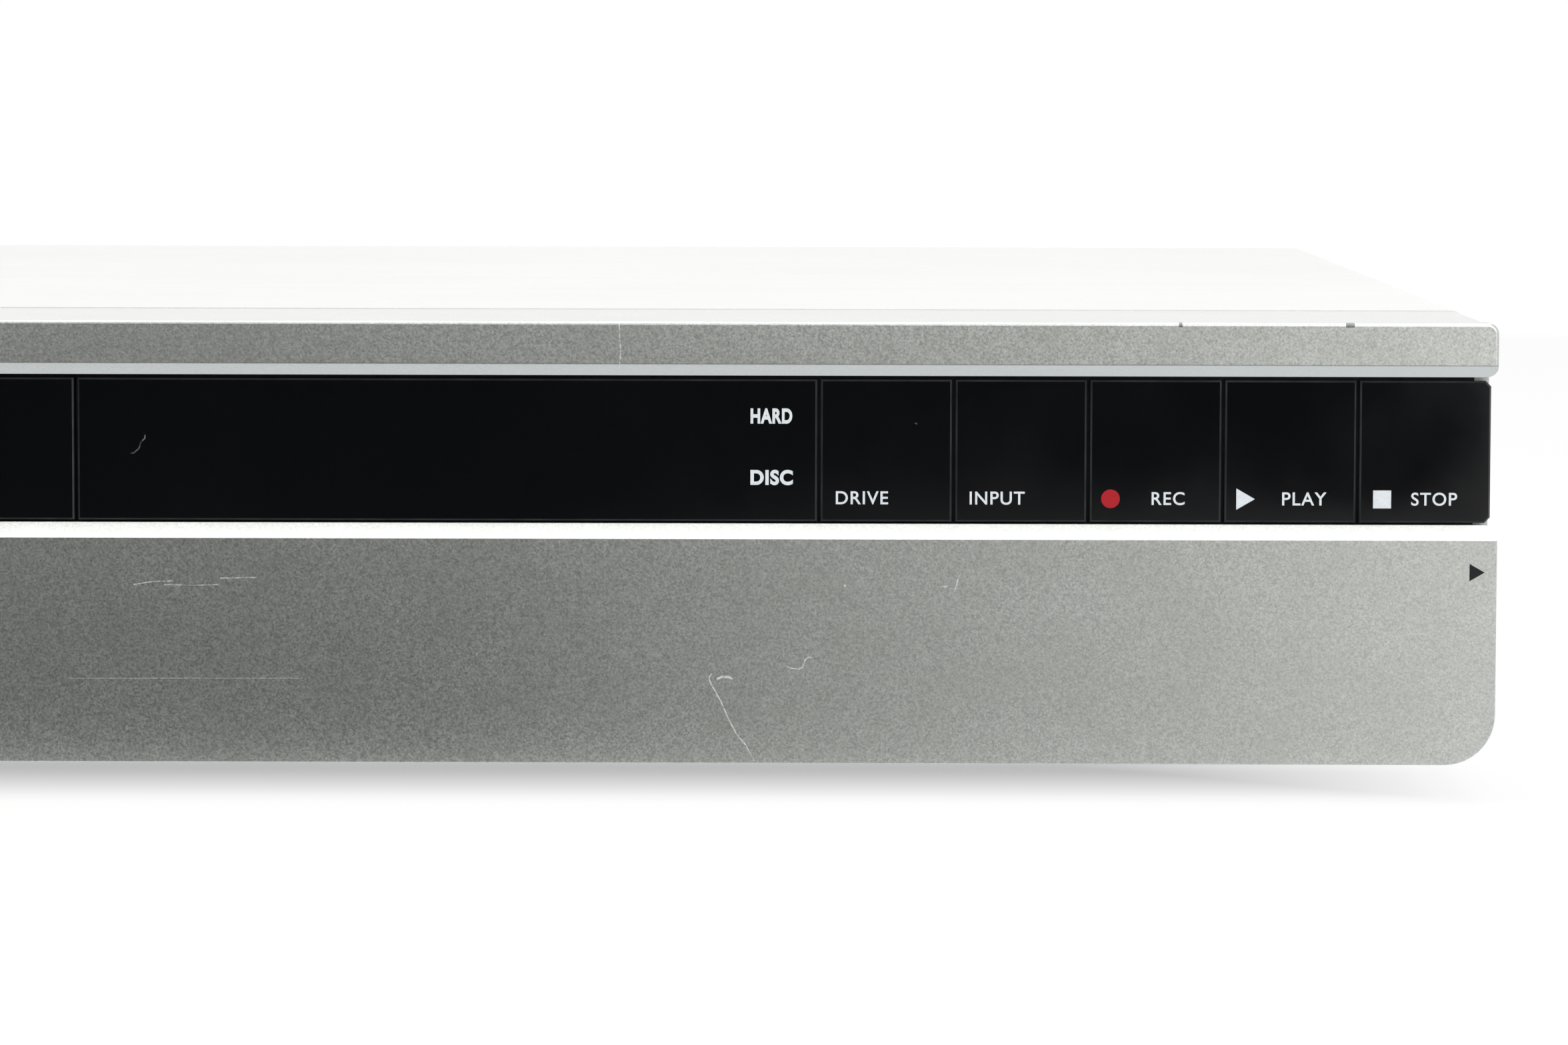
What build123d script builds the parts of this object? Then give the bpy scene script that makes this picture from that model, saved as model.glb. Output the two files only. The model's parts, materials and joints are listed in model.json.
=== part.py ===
from build123d import *
import math
import os

# A disc and hard disk recorder: a flat case with a drop-down flap, a disc drive and its electronics.
# Sizes are in millimetres. X runs to the viewer's right, Y from the front to the back and Z up.
# The origin is the middle of the bounding box, on the floor.

# The case
overall_width = 430.0
body_depth = 300.0
front_height = 60.5
foot_height = 5.0
side_inset = 0.8
cover_rise = 0.1
cover_sheet = 0.8
cover_bend = 1.5
cover_hem = 0.5
cover_flange = 9.0
base_sheet = 1.0
base_flange = 12.0
base_front_flange = 7.0
rear_sheet = 1.0
hole_clearance = 0.3
match_tolerance = 0.01

# The silver front moulding
lip_depth = 38.0
lip_tongue = 5.0
moulding_wall = 2.2
cheek_wall = 2.0
strip_height = 7.4
strip_round = 0.5
strip_corner = 1.5
strip_bevel_height = 1.6
strip_bevel_depth = 1.2

# The black band and the plate behind it
band_groove = 0.55
band_height = 19.45
band_recess = 2.0
window_thickness = 3.0
plate_wall = 2.5
carrier_wall = 2.0
key_pitch = 18.4
key_gap = 0.5
key_cap = 2.2
key_travel = 0.5
key_edge = 0.25
key_corner = 0.75
stem_width = 6.0
stem_height = 4.0
stem_clearance = 0.3
tray_cell_margin = 1.0
window_rim = 5.0
window_sill = 3.0
right_key_count = 5

# The drop-down flap
flap_gap = 0.3
flap_thickness = 3.0
flap_bevel = 2.0
flap_bottom_corner = 6.9
flap_top_corner = 1.6
flap_edge = 0.12
flap_axis_depth = 5.5
flap_axis_rise = 2.2
flap_arm_width = 6.0
flap_arm_radius = 1.9
flap_arm_inset = 26.0
flap_pin_radius = 0.8
flap_pin_length = 14.0
flap_arm_side_clearance = 0.4
pin_clearance = 0.05
flap_sweep_clearance = 0.4

# The boards and parts behind the front
board_thickness = 1.6
board_stand = 6.5
boss_radius = 3.0
front_board_height = 26.0
front_board_margin = 6.0
switch_size = 6.0
switch_body = 3.5
plunger_radius = 1.7
plunger_length = 0.8
stem_stop = 0.1
display_margin = 14.75
display_thickness = 6.0
display_height = 13.0
receiver_size = 7.0
pocket_width = 92.0
pocket_height = 19.0
pocket_depth = 14.0
pocket_floor = 2.0
pocket_inset = 22.0
pocket_sill = 5.0
phono_radius = 4.15
phono_bore = 3.3
phono_reach = 8.0
phono_pitch = 15.0
phono_lead = 11.0
front_phono_count = 4
phono_body = 11.0
phono_body_depth = 6.0
small_socket_reach = 1.5
small_socket_width = 8.0
small_socket_height = 5.0
thin_wall = 0.8

# The disc drive
drive_from_middle = 53.05
drive_half_width = 73.0
drive_wall = 3.0
drive_length = 191.5
drive_front_gap = 2.0
drive_flange_clearance = 1.0
drive_leg = 8.0
drive_leg_clearance = 2.0
drive_lid_sheet = 0.8
drive_lid_skirt = 26.0
tray_thickness = 6.0
tray_side_clearance = 0.5
tray_gap = 0.3
tray_under_band = 8.0
tray_length = 176.0
tray_travel = 140.0
tray_front_rim = 10.0
tray_bezel_gap = 0.3
disc_radius = 60.5
disc_recess = 2.0
small_disc_radius = 40.5
small_disc_recess = 1.5
tray_slot_half = 17.5
rail_width = 4.0
rail_height = 2.2
lid_over_tray = 5.0
rack_inset = 4.0
rack_depth = 5.5

# The gear trains
pressure_angle = math.radians(20.0)
addendum = 0.75
dedendum = 1.0
gear_slack = 0.25
flank_steps = 4
load_module = 1.0
tray_gear_teeth = 20
pulley_pinion_teeth = 12
gear_thickness = 5.0
gear_under_tray = 0.5
gear_from_front = 20.5
post_radius = 1.5
deck_wall = 2.0
deck_length = 34.0
pulley_radius = 10.0
pulley_flange = 1.0
pulley_thickness = 3.0
motor_pulley_radius = 2.5
belt_size = 1.5
belt_clearance = 0.1
belt_span = 34.0
load_motor_radius = 10.0
load_motor_height = 15.0
motor_shaft_radius = 1.0
gear_gap = 0.4

# The traverse that carries the spindle and the pickup
traverse_half_width = 42.0
traverse_wall = 3.0
traverse_front_margin = 26.0
traverse_rear_margin = 46.0
traverse_under_tray = 5.0
traverse_window_half = 25.0
traverse_pin_radius = 2.0
traverse_pin_length = 5.0
traverse_ear_wall = 4.0
traverse_ear_gap = 0.4
spindle_motor_radius = 12.0
spindle_motor_height = 11.0
turntable_radius = 15.0
turntable_lift = 1.0
turntable_plate = 3.0
turntable_sleeve = 4.0
hub_radius = 7.4
hub_height = 3.0
hub_taper = 1.5
clamper_radius = 13.5
clamper_plate = 2.4
clamper_neck = 8.5
clamper_flange = 11.5
clamper_gap = 0.3
clamper_cap = 1.0
rod_radius = 1.5
rod_half_span = 17.0
rod_lug = 5.0
sled_half_width = 22.0
sled_length = 22.0
sled_height = 8.0
sled_gap = 1.0
sled_corner = 1.5
sled_travel = 34.0
lens_radius = 3.5
lens_height = 2.0
lens_edge = 0.5
sled_module = 0.8
sled_gear_teeth = 16
sled_pinion_teeth = 10
sled_rack_depth = 3.0
sled_rack_back = 1.2
sled_rack_stand = 0.5
sled_gear_lead = 10.0
sled_motor_radius = 7.0
sled_motor_height = 14.0

# The hard disk
hard_disk_width = 101.6
hard_disk_length = 147.0
hard_disk_height = 26.1
hard_disk_lid = 0.6
hard_disk_corner = 3.0
hard_disk_gap = 48.0
hard_disk_behind_front = 17.0
hard_disk_stand = 6.0
bracket_sheet = 1.2
bracket_flange = 12.0

# The rear boards, sockets and fan
stand_height = 6.0
stand_radius = 3.0
board_edge = 6.0
board_disk_gap = 6.0
main_board_left = 70.0
board_rear_gap = 4.0
power_board_drive_gap = 8.55
power_board_length = 178.0
power_board_rear_gap = 26.0
aerial_length = 10.0
aerial_radius = 4.8
aerial_bore = 3.4
aerial_pin = 1.4
aerial_pitch = 20.0
tuner_width = 44.0
tuner_depth = 50.0
tuner_height = 20.0
tuner_inset = 14.0
socket_gap = 9.0
scart_width = 52.0
scart_height = 17.0
scart_depth = 26.0
scart_reach = 2.0
scart_opening_width = 47.6
scart_opening_height = 12.8
scart_opening_depth = 9.0
scart_pitch = 20.0
rear_phono_columns = 4
rear_phono_pitch = 14.0
rear_phono_depth = 12.0
digital_width = 18.0
digital_depth = 12.0
digital_height = 11.0
digital_reach = 1.0
digital_opening_width = 13.9
digital_opening_height = 4.6
digital_opening_depth = 8.0
digital_tongue = 1.6
digital_tongue_width = 10.0
inlet_width = 26.0
inlet_height = 16.0
inlet_depth = 20.0
inlet_reach = 3.0
inlet_opening_width = 16.4
inlet_opening_height = 8.8
inlet_opening_depth = 13.0
inlet_opening_round = 3.9
inlet_pin_radius = 1.2
inlet_pin_pitch = 8.6
inlet_from_side = 30.0
inlet_rise = 16.0
fan_size = 40.0
fan_depth = 10.0
fan_bore = 18.8
fan_blade_radius = 18.0
fan_hub_radius = 9.0
fan_from_inlet = 62.0
fan_rise = 7.0
fan_rotor_depth = 7.0
fan_blades = 7
fan_blade_wall = 1.2
fan_strut = 3.0
fan_strut_turns = (45, 135)
fan_corner = 2.0
fan_blade_turn = 35
fan_blade_root = 2.0
grille_slot = 3.0
grille_pitch = 5.5
grille_margin = 4.0
chip_height = 2.2
chip_size = 24.0
chip_pitch = 52.0
chip_count = 3
chip_corner = 0.8
heat_sink_height = 16.0
heat_sink_fins = 7
heat_sink_fin = 1.2
transformer_size = 34.0
transformer_height = 28.0
transformer_waist = 24.0
bobbin_height = 22.0
capacitor_radius = 8.0
capacitor_height = 30.0
capacitor_pitch = 22.0
capacitor_lead = 13.0
capacitor_count = 3
capacitor_rim = 0.8
ribbon_thickness = 0.8
ribbon_bend = 5.0
front_ribbon_width = 18.0
disc_ribbon_width = 50.0
ribbon_plug_depth = 4.0

# Feet, vents and screws
foot_radius = 12.0
foot_pad_radius = 9.0
foot_pad = 1.2
foot_edge = 1.0
foot_side_inset = 32.0
foot_end_inset = 26.0
vent_width = 2.5
vent_length = 34.0
vent_pitch = 6.0
vent_count = 14
vent_side_margin = 26.0
vent_rear_margin = 26.0
side_vent_height = 22.0
screw_head_radius = 3.0
screw_head_height = 1.8
screw_radius = 1.5
screw_length = 6.0
screw_clearance = 0.05
screw_slot = 1.0
screw_slot_length = 3.6
screw_slot_depth = 0.9
cover_screw_count = 3
cover_screw_inset = 24.0

# Planes of the case
half_width = overall_width / 2
front_y = -(body_depth + aerial_length) / 2
rear_y = front_y + body_depth
panel_y = rear_y - rear_sheet
front_top = foot_height + front_height
side_x = half_width - side_inset
cover_top = front_top + cover_rise
cover_under = cover_top - cover_sheet
cover_inner = side_x - cover_sheet
base_top = foot_height + base_sheet
lip_end = front_y + lip_depth
lip_under = front_top - moulding_wall
cheek_inner = side_x - cheek_wall

# Levels of the front
strip_bottom = front_top - strip_height
band_top = strip_bottom - band_groove
band_bottom = band_top - band_height
band_middle = (band_top + band_bottom) / 2
flap_top = band_bottom - flap_gap
band_y = front_y + band_recess
plate_y = band_y + window_thickness
plate_back = plate_y + plate_wall
front_board_y = plate_back + board_stand
stem_end = front_board_y - switch_body - plunger_length - key_travel - stem_stop

# Cells of the band, from the right end to the left end
band_end = side_x + key_gap / 2
drive_x = -drive_from_middle
keys_left = band_end - right_key_count * key_pitch
window_left = drive_x + drive_half_width + tray_cell_margin
tray_left = drive_x - drive_half_width - tray_cell_margin
eject_left = tray_left - key_pitch
standby_right = key_pitch - band_end

# Levels of the drive
tray_top = band_middle + tray_under_band / 2
tray_bottom = tray_top - tray_thickness
tray_half_width = drive_half_width - drive_wall - tray_side_clearance
tray_front = plate_y - tray_bezel_gap
tray_rear = tray_front + tray_length
drive_front = plate_back + drive_front_gap
drive_rear = drive_front + drive_length
drive_bottom = base_top + base_front_flange + drive_flange_clearance
drive_top = tray_top + lid_over_tray
disc_y = tray_front + tray_front_rim + disc_radius
recess_floor = tray_top - disc_recess

# The loading gears
tray_gear_radius = load_module * tray_gear_teeth / 2
pulley_pinion_radius = load_module * pulley_pinion_teeth / 2
rack_x = drive_x - tray_half_width + rack_inset + rack_depth
tray_gear_x = rack_x + tray_gear_radius
load_gear_y = drive_front + gear_from_front
gear_top = tray_bottom - gear_under_tray
gear_bottom = gear_top - gear_thickness
pulley_gear_x = tray_gear_x + tray_gear_radius + pulley_pinion_radius
load_motor_x = pulley_gear_x + belt_span
pulley_top = gear_bottom - gear_gap
pulley_bottom = pulley_top - pulley_thickness
deck_top = pulley_bottom - gear_gap

# The traverse
traverse_top = tray_bottom - traverse_under_tray
traverse_bottom = traverse_top - traverse_wall
traverse_front = disc_y - traverse_front_margin
traverse_rear = disc_y + disc_radius + traverse_rear_margin
traverse_axis_z = (traverse_top + traverse_bottom) / 2
rod_z = traverse_top - rod_radius
window_front = disc_y + spindle_motor_radius + rod_lug
sled_front = window_front + sled_gap
sled_rear = sled_front + sled_length
window_rear = sled_rear + sled_travel + sled_gap
sled_bottom = rod_z - sled_height / 2
sled_top = sled_bottom + sled_height
lens_y = (sled_front + sled_rear) / 2
sled_gear_radius = sled_module * sled_gear_teeth / 2
sled_pinion_radius = sled_module * sled_pinion_teeth / 2
sled_rack_x = drive_x + sled_half_width + sled_rack_back + sled_module * dedendum
sled_gear_x = sled_rack_x + sled_gear_radius
sled_gear_y = sled_rear + sled_gear_lead
sled_pinion_y = sled_gear_y + sled_gear_radius + sled_pinion_radius
sled_rack_bottom = traverse_top + sled_rack_stand
turntable_top = recess_floor + turntable_lift

# The flap's axis
flap_axis_y = front_y + flap_axis_depth
flap_axis_z = foot_height + flap_axis_rise

# The hard disk
hard_disk_x = drive_x + drive_half_width + drive_lid_sheet + hard_disk_gap
hard_disk_y = lip_end + hard_disk_behind_front
hard_disk_z = base_top + hard_disk_stand

# The rear
board_bottom = base_top + stand_height
board_top = board_bottom + board_thickness
main_board_x = (-main_board_left, cover_inner - board_edge)
rearmost_drive_y = max(drive_rear, hard_disk_y + hard_disk_length)
main_board_y = (rearmost_drive_y + board_disk_gap, panel_y - board_rear_gap)
header_y = main_board_y[0] + board_edge
tuner_x = main_board_x[0] + tuner_inset
scart_x = tuner_x + tuner_width + socket_gap
rear_phono_x = scart_x + scart_width + socket_gap
rear_phono_width = rear_phono_columns * rear_phono_pitch
digital_x = rear_phono_x + rear_phono_width + socket_gap
power_board_right = drive_x - drive_half_width - drive_lid_sheet - power_board_drive_gap
power_board_x = (board_edge - cover_inner, power_board_right)
power_board_y = (panel_y - power_board_rear_gap - power_board_length, panel_y - power_board_rear_gap)
inlet_x = inlet_from_side - cover_inner
inlet_z = base_top + inlet_rise + inlet_height / 2
fan_x = inlet_x + fan_from_inlet
fan_z = base_top + fan_rise + fan_size / 2
tuner_z = board_top + tuner_height / 2
scart_rows = [board_top + scart_height / 2, board_top + scart_height / 2 + scart_pitch]
rear_phono_rows = [board_top + rear_phono_pitch / 2, board_top + rear_phono_pitch * 3 / 2]

def block(x, y, z):
    """A box between a low and a high limit on each axis."""
    size = Box(x[1] - x[0], y[1] - y[0], z[1] - z[0])
    return Pos((x[0] + x[1]) / 2, (y[0] + y[1]) / 2, (z[0] + z[1]) / 2) * size


def around(middle, half):
    """The low and high limits of a span about its middle."""
    return (middle - half, middle + half)


def upright(radius, x, y, z):
    """A cylinder along Z between two heights."""
    return Pos(x, y, (z[0] + z[1]) / 2) * Cylinder(radius, z[1] - z[0])


def lengthways(radius, x, y, z):
    """A cylinder along Y between two depths."""
    return Pos(x, (y[0] + y[1]) / 2, z) * Rot(X=-90) * Cylinder(radius, y[1] - y[0])


def crossways(radius, x, y, z):
    """A cylinder along X between two widths."""
    return Pos((x[0] + x[1]) / 2, y, z) * Rot(Y=90) * Cylinder(radius, x[1] - x[0])


def edges_at(shape, along, across, value):
    """The straight edges along one axis that lie at a place on another."""
    found = shape.edges().filter_by(along)
    return found.filter_by_position(across, value - match_tolerance, value + match_tolerance)


def save(name, *shapes):
    """Writes one node's separate solids to its STEP file."""
    solids = [solid for shape in shapes for solid in shape.solids()]
    kept = solids[0] if len(solids) == 1 else Compound(children=solids)
    export_step(kept, os.path.join("parts", name + ".step"))


def involute(angle):
    """The involute function of a pressure angle."""
    return math.tan(angle) - angle


def polar(radius, angle):
    """A point at a radius and an angle."""
    return (radius * math.cos(angle), radius * math.sin(angle))


def gear(teeth, module, z, turn=0.0):
    """An involute gear about the Z axis with one tooth along +X, turned by an angle."""
    pitch = module * teeth / 2
    base = pitch * math.cos(pressure_angle)
    tip = pitch + module * addendum
    root = pitch - module * dedendum
    start = max(base, root)
    half = math.pi / (2 * teeth) - gear_slack / (4 * pitch) + involute(pressure_angle)
    flank = [start + (tip - start) * i / flank_steps for i in range(flank_steps + 1)]
    spread = [half - involute(math.acos(base / radius)) for radius in flank]
    points = []
    for k in range(teeth):
        middle = turn + 2 * math.pi * k / teeth
        points.append(polar(root, middle - half))
        points += [polar(r, middle - a) for r, a in zip(flank, spread)]
        points += [polar(r, middle + a) for r, a in zip(reversed(flank), reversed(spread))]
        points.append(polar(root, middle + half))
    cleaned = [p for i, p in enumerate(points) if math.dist(p, points[i - 1]) > 1e-4]
    face = make_face(Polyline(*cleaned, close=True))
    return Pos(0, 0, z[0]) * extrude(face, z[1] - z[0])


def rack(module, pitch_x, facing, mesh_y, y, z, back):
    """A straight rack along Y with a space centred where its gear's tooth points."""
    step = math.pi * module
    half = step / 4 - gear_slack / 4
    lean = math.tan(pressure_angle)
    tip = module * addendum
    root = module * dedendum
    first = math.ceil((y[0] - mesh_y) / step)
    last = math.floor((y[1] - mesh_y) / step)
    teeth = block(sorted((pitch_x - facing * (root + back), pitch_x - facing * root)), y, z)
    for k in range(first, last):
        middle = mesh_y + (k + 0.5) * step
        wide, narrow = half + root * lean, half - tip * lean
        low, high = pitch_x - facing * root, pitch_x + facing * tip
        left = [(low, middle - wide), (high, middle - narrow)]
        right = [(high, middle + narrow), (low, middle + wide)]
        face = make_face(Polyline(*left, *right, close=True))
        teeth += Pos(0, 0, z[0]) * extrude(face, z[1] - z[0])
    return teeth


def screw(x, y, z, outward):
    """A screw whose head rests on a face; outward is the face's normal as a rotation."""
    head = Pos(0, 0, screw_head_height / 2) * Cylinder(screw_head_radius, screw_head_height)
    shank = Pos(0, 0, -screw_length / 2) * Cylinder(screw_radius, screw_length)
    slot = Box(screw_slot_length, screw_slot, 2 * screw_slot_depth)
    cross = Pos(0, 0, screw_head_height) * (slot + Rot(Z=90) * slot)
    return Pos(x, y, z) * outward * (head + shank - cross)


def cell(low, high):
    """The limits of a piece in a cell of the band, half a gap in from each side."""
    return (low + key_gap / 2, high - key_gap / 2)


def top_cover():
    """The painted sheet cover: a roof, two sides and a turned-down rear edge."""
    outer = block(around(0, side_x), (lip_end, rear_y + cover_sheet), (foot_height + cover_hem, cover_top))
    outer = fillet(edges_at(outer, Axis.Y, Axis.Z, cover_top), cover_bend)
    inner = block(around(0, cover_inner), (lip_end - 1, rear_y), (foot_height - 1, cover_under))
    inner = fillet(edges_at(inner, Axis.Y, Axis.Z, cover_under), cover_bend - cover_sheet)
    cover = outer - inner
    low = (foot_height - 1, cover_under - cover_flange)
    cover -= block(around(0, cover_inner), (rear_y - 1, rear_y + 1 + cover_sheet), low)
    for i in range(vent_count):
        x = vent_side_margin - side_x + i * vent_pitch
        rear = rear_y - vent_rear_margin
        cover -= block((x, x + vent_width), (rear - vent_length, rear), (cover_under - 1, cover_top + 1))
        y = rear - i * vent_pitch
        height = around((cover_under + base_top) / 2, side_vent_height / 2)
        cover -= block(around(0, side_x + 1), (y - vent_width, y), height)
    for x in cover_screw_places():
        through = (rear_y - 1, rear_y + 1 + cover_sheet)
        cover -= lengthways(screw_radius + screw_clearance, x, through, cover_screw_z())
    return cover


def cover_screw_places():
    """Where the cover's rear screws stand across the width."""
    reach = cover_inner - cover_screw_inset
    return [-reach + 2 * reach * i / (cover_screw_count - 1) for i in range(cover_screw_count)]


def cover_screw_z():
    """The height of the cover's rear screws."""
    return cover_under - cover_flange / 2


def stand_places(x, y):
    """The corners of a board where its stands are."""
    across = (x[0] + board_edge, x[1] - board_edge)
    deep = (y[0] + board_edge, y[1] - board_edge)
    return [(a, b) for a in across for b in deep]


def foot_places():
    """Where the four feet stand."""
    y_front = lip_end + foot_end_inset
    y_rear = rear_y - foot_end_inset
    return [(x, y) for x in (foot_side_inset - side_x, side_x - foot_side_inset) for y in (y_front, y_rear)]


def chassis_base():
    """The folded steel floor with its flanges and the stands of the boards."""
    base = block(around(0, cover_inner), (lip_end, rear_y), (foot_height, base_top))
    flange_top = base_top + base_flange
    front = (base_top, base_top + base_front_flange)
    base += block(around(0, cover_inner), (lip_end, lip_end + base_sheet), front)
    for side in (-1, 1):
        wall = sorted((side * cover_inner, side * (cover_inner - base_sheet)))
        base += block(wall, (lip_end, panel_y), (base_top, flange_top))
    for x, y in stand_places(main_board_x, main_board_y) + stand_places(power_board_x, power_board_y):
        base += upright(stand_radius, x, y, (base_top, board_bottom))
        base -= upright(screw_radius + screw_clearance, x, y, (foot_height - 1, board_bottom + 1))
    return base


def rear_panel():
    """The steel rear panel with a cut-out for each socket."""
    gap = hole_clearance
    panel = block(around(0, cover_inner), (panel_y, rear_y), (base_top, cover_under))
    panel = chamfer(edges_at(panel, Axis.Y, Axis.Z, cover_under), cover_bend)
    through = (panel_y - 1, rear_y + 1)
    for x in aerial_places():
        panel -= lengthways(aerial_radius + gap, x, through, tuner_z)
    for z in scart_rows:
        x = (scart_x - gap, scart_x + scart_width + gap)
        panel -= block(x, through, around(z, scart_height / 2 + gap))
    for x, z in rear_phono_places():
        panel -= lengthways(phono_radius + gap, x, through, z)
    panel -= block((digital_x - gap, digital_x + digital_width + gap), through,
                   (board_top - gap, board_top + digital_height + gap))
    panel -= block(around(inlet_x, inlet_width / 2 + gap), through, around(inlet_z, inlet_height / 2 + gap))
    half = fan_size / 2 - grille_margin
    count = int(half / grille_pitch)
    for i in range(-count, count + 1):
        reach = math.sqrt(half ** 2 - (i * grille_pitch) ** 2)
        panel -= block(around(fan_x, reach), through, around(fan_z + i * grille_pitch, grille_slot / 2))
    for x in cover_screw_places():
        panel -= lengthways(screw_radius + screw_clearance, x, through, cover_screw_z())
    for x, z in socket_screw_places():
        panel -= lengthways(screw_radius + screw_clearance, x, through, z)
    return panel


def aerial_places():
    """Where the two aerial sockets are across the tuner."""
    middle = tuner_x + tuner_width / 2
    return [middle - aerial_pitch / 2, middle + aerial_pitch / 2]


def rear_phono_places():
    """Where the rear phono sockets are."""
    across = [rear_phono_x + (i + 0.5) * rear_phono_pitch for i in range(rear_phono_columns)]
    return [(x, z) for x in across for z in rear_phono_rows]


def socket_screw_places():
    """The screws that hold the inlet, the phono block and the tuner to the rear panel."""
    inlet_side = inlet_width / 2 + 2 * screw_head_radius
    phono_z = board_top + rear_phono_pitch
    return [
        (inlet_x - inlet_side, inlet_z),
        (inlet_x + inlet_side, inlet_z),
        (rear_phono_x + rear_phono_pitch, phono_z),
        (rear_phono_x + rear_phono_width - rear_phono_pitch, phono_z),
        (tuner_x + tuner_width / 2, tuner_z),
    ]


def lower_corners():
    """What the case leaves free behind the flap's round lower corners."""
    y = (plate_y - 1, lip_end + 1)
    middle_z = foot_height + flap_bottom_corner
    pieces = []
    for side in (-1, 1):
        middle_x = side * (side_x - flap_bottom_corner)
        corner = block(sorted((middle_x, side * half_width)), y, (foot_height - 1, middle_z))
        pieces.append(corner - lengthways(flap_bottom_corner, middle_x, y, middle_z))
    return pieces


def front_panel():
    """The silver moulding: the top strip, the lip behind it and two side cheeks."""
    nose = block(around(0, half_width), (front_y, plate_y), (strip_bottom, front_top))
    nose = fillet(nose.edges().filter_by(Axis.Y), strip_corner)
    nose = fillet(nose.faces().sort_by(Axis.Y)[0].edges(), strip_round)
    wedge = Polyline(
        (front_y, strip_bottom + strip_bevel_height),
        (front_y - 1, strip_bottom + strip_bevel_height),
        (front_y - 1, strip_bottom - 1),
        (front_y + strip_bevel_depth, strip_bottom - 1),
        (front_y + strip_bevel_depth, strip_bottom),
        close=True,
    )
    nose -= extrude(Plane.YZ * make_face(wedge), half_width + 1, both=True)
    lip = block(around(0, side_x), (plate_y, lip_end), (lip_under, front_top))
    lip = fillet(edges_at(lip, Axis.Y, Axis.Z, front_top), strip_corner)
    tongue_y = (lip_end - 1, lip_end + lip_tongue)
    tongue = block(around(0, cover_inner - cheek_wall), tongue_y, (lip_under, cover_under))
    panel = nose + lip + tongue
    for side in (-1, 1):
        wall = sorted((side * side_x, side * cheek_inner))
        panel += block(wall, (plate_y, lip_end), (foot_height, lip_under))
    for corner in lower_corners():
        panel -= corner
    return panel


def key_places():
    """The band cells that hold keys: name, low and high limit."""
    right = ["drive_key", "input_key", "record_key", "play_key", "stop_key"]
    cells = [("standby_key", -band_end, standby_right), ("eject_key", eject_left, tray_left)]
    for i, name in enumerate(right):
        cells.append((name, keys_left + i * key_pitch, keys_left + (i + 1) * key_pitch))
    return cells


def band_piece(low, high, depth):
    """A piece of the black band with a fine chamfer all round its face."""
    x = cell(low, high)
    piece = block(x, (band_y, band_y + depth), (band_bottom, band_top))
    for end in x:
        if abs(abs(end) - side_x) < match_tolerance:
            piece = chamfer(edges_at(piece, Axis.Y, Axis.X, end), key_corner)
    return chamfer(piece.faces().sort_by(Axis.Y)[0].edges(), key_edge)


def key(low, high):
    """A key: its cap and the stem that reaches its switch."""
    x = (low + high) / 2
    stem_z = around(band_middle, stem_height / 2)
    stem = block(around(x, stem_width / 2), (band_y + key_cap, stem_end), stem_z)
    return band_piece(low, high, key_cap) + stem


def hinge_places():
    """Where the flap's two hinge arms are across the width."""
    return [flap_arm_inset - half_width, half_width - flap_arm_inset]


def front_carrier():
    """The black inner front: its plate, side walls, floor, bosses and hinge ears."""
    plate = block(around(0, cheek_inner), (plate_y, plate_back), (foot_height, lip_under))
    floor = block(around(0, cheek_inner), (plate_back, lip_end), (foot_height, foot_height + carrier_wall))
    carrier = plate + floor
    for side in (-1, 1):
        wall = sorted((side * cheek_inner, side * (cheek_inner - carrier_wall)))
        carrier += block(wall, (plate_back, lip_end), (foot_height, lip_under))
    through = (plate_y - 1, plate_back + 1)
    opening = drive_half_width - drive_wall + stem_clearance
    sill = (band_bottom + window_sill / 2, band_top - window_sill / 2)
    carrier -= block(around(drive_x, opening), through, sill)
    window_z = (band_bottom + window_sill, band_top - window_sill)
    carrier -= block((window_left + window_rim, keys_left - window_rim), through, window_z)
    carrier -= block((standby_right + window_rim, eject_left - window_rim), through, window_z)
    for name, low, high in key_places():
        x = around((low + high) / 2, stem_width / 2 + stem_clearance)
        carrier -= block(x, through, around(band_middle, stem_height / 2 + stem_clearance))
    x, z = pocket_span()
    carrier -= block(x, through, z)
    for x, z in boss_places():
        carrier += lengthways(boss_radius, x, (plate_back, front_board_y), z)
    top = pocket_span()[1][0] - carrier_wall - hole_clearance
    for x in hinge_places():
        ear_half = flap_pin_length / 2 + carrier_wall / 2
        rear = flap_axis_y + flap_pin_length / 2
        carrier += block(around(x, ear_half), (plate_back, rear), (foot_height, top))
        slot = around(x, flap_arm_width / 2 + flap_arm_side_clearance)
        reach = flap_axis_depth - flap_thickness + flap_sweep_clearance + flap_arm_radius
        carrier -= block(slot, (plate_y - 1, flap_axis_y + reach), (foot_height - 1, top))
        pin = around(x, flap_pin_length / 2)
        carrier -= crossways(flap_pin_radius + pin_clearance, pin, flap_axis_y, flap_axis_z)
    for corner in lower_corners():
        carrier -= corner
    return carrier


def socket_pocket():
    """The open box behind the flap that the front sockets stand in."""
    x, z = pocket_span()
    back = pocket_back()
    pocket = block(around_wall(x), (plate_back, back), around_wall(z))
    pocket -= block(x, (plate_back - 1, back - pocket_floor), z)
    for place in front_socket_places():
        hole = (plate_back, back + 1)
        pocket -= lengthways(phono_radius + hole_clearance, place, hole, pocket_middle())
    return pocket - block(*small_socket_span(hole_clearance))


def around_wall(span):
    """A span widened by the carrier's wall at both ends."""
    return (span[0] - carrier_wall, span[1] + carrier_wall)


def pocket_span():
    """The socket pocket's limits across and up."""
    right = cheek_inner - pocket_inset
    low = foot_height + carrier_wall + pocket_sill
    return (right - pocket_width, right), (low, low + pocket_height)


def pocket_middle():
    """The height of the sockets in the pocket."""
    z = pocket_span()[1]
    return (z[0] + z[1]) / 2


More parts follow.
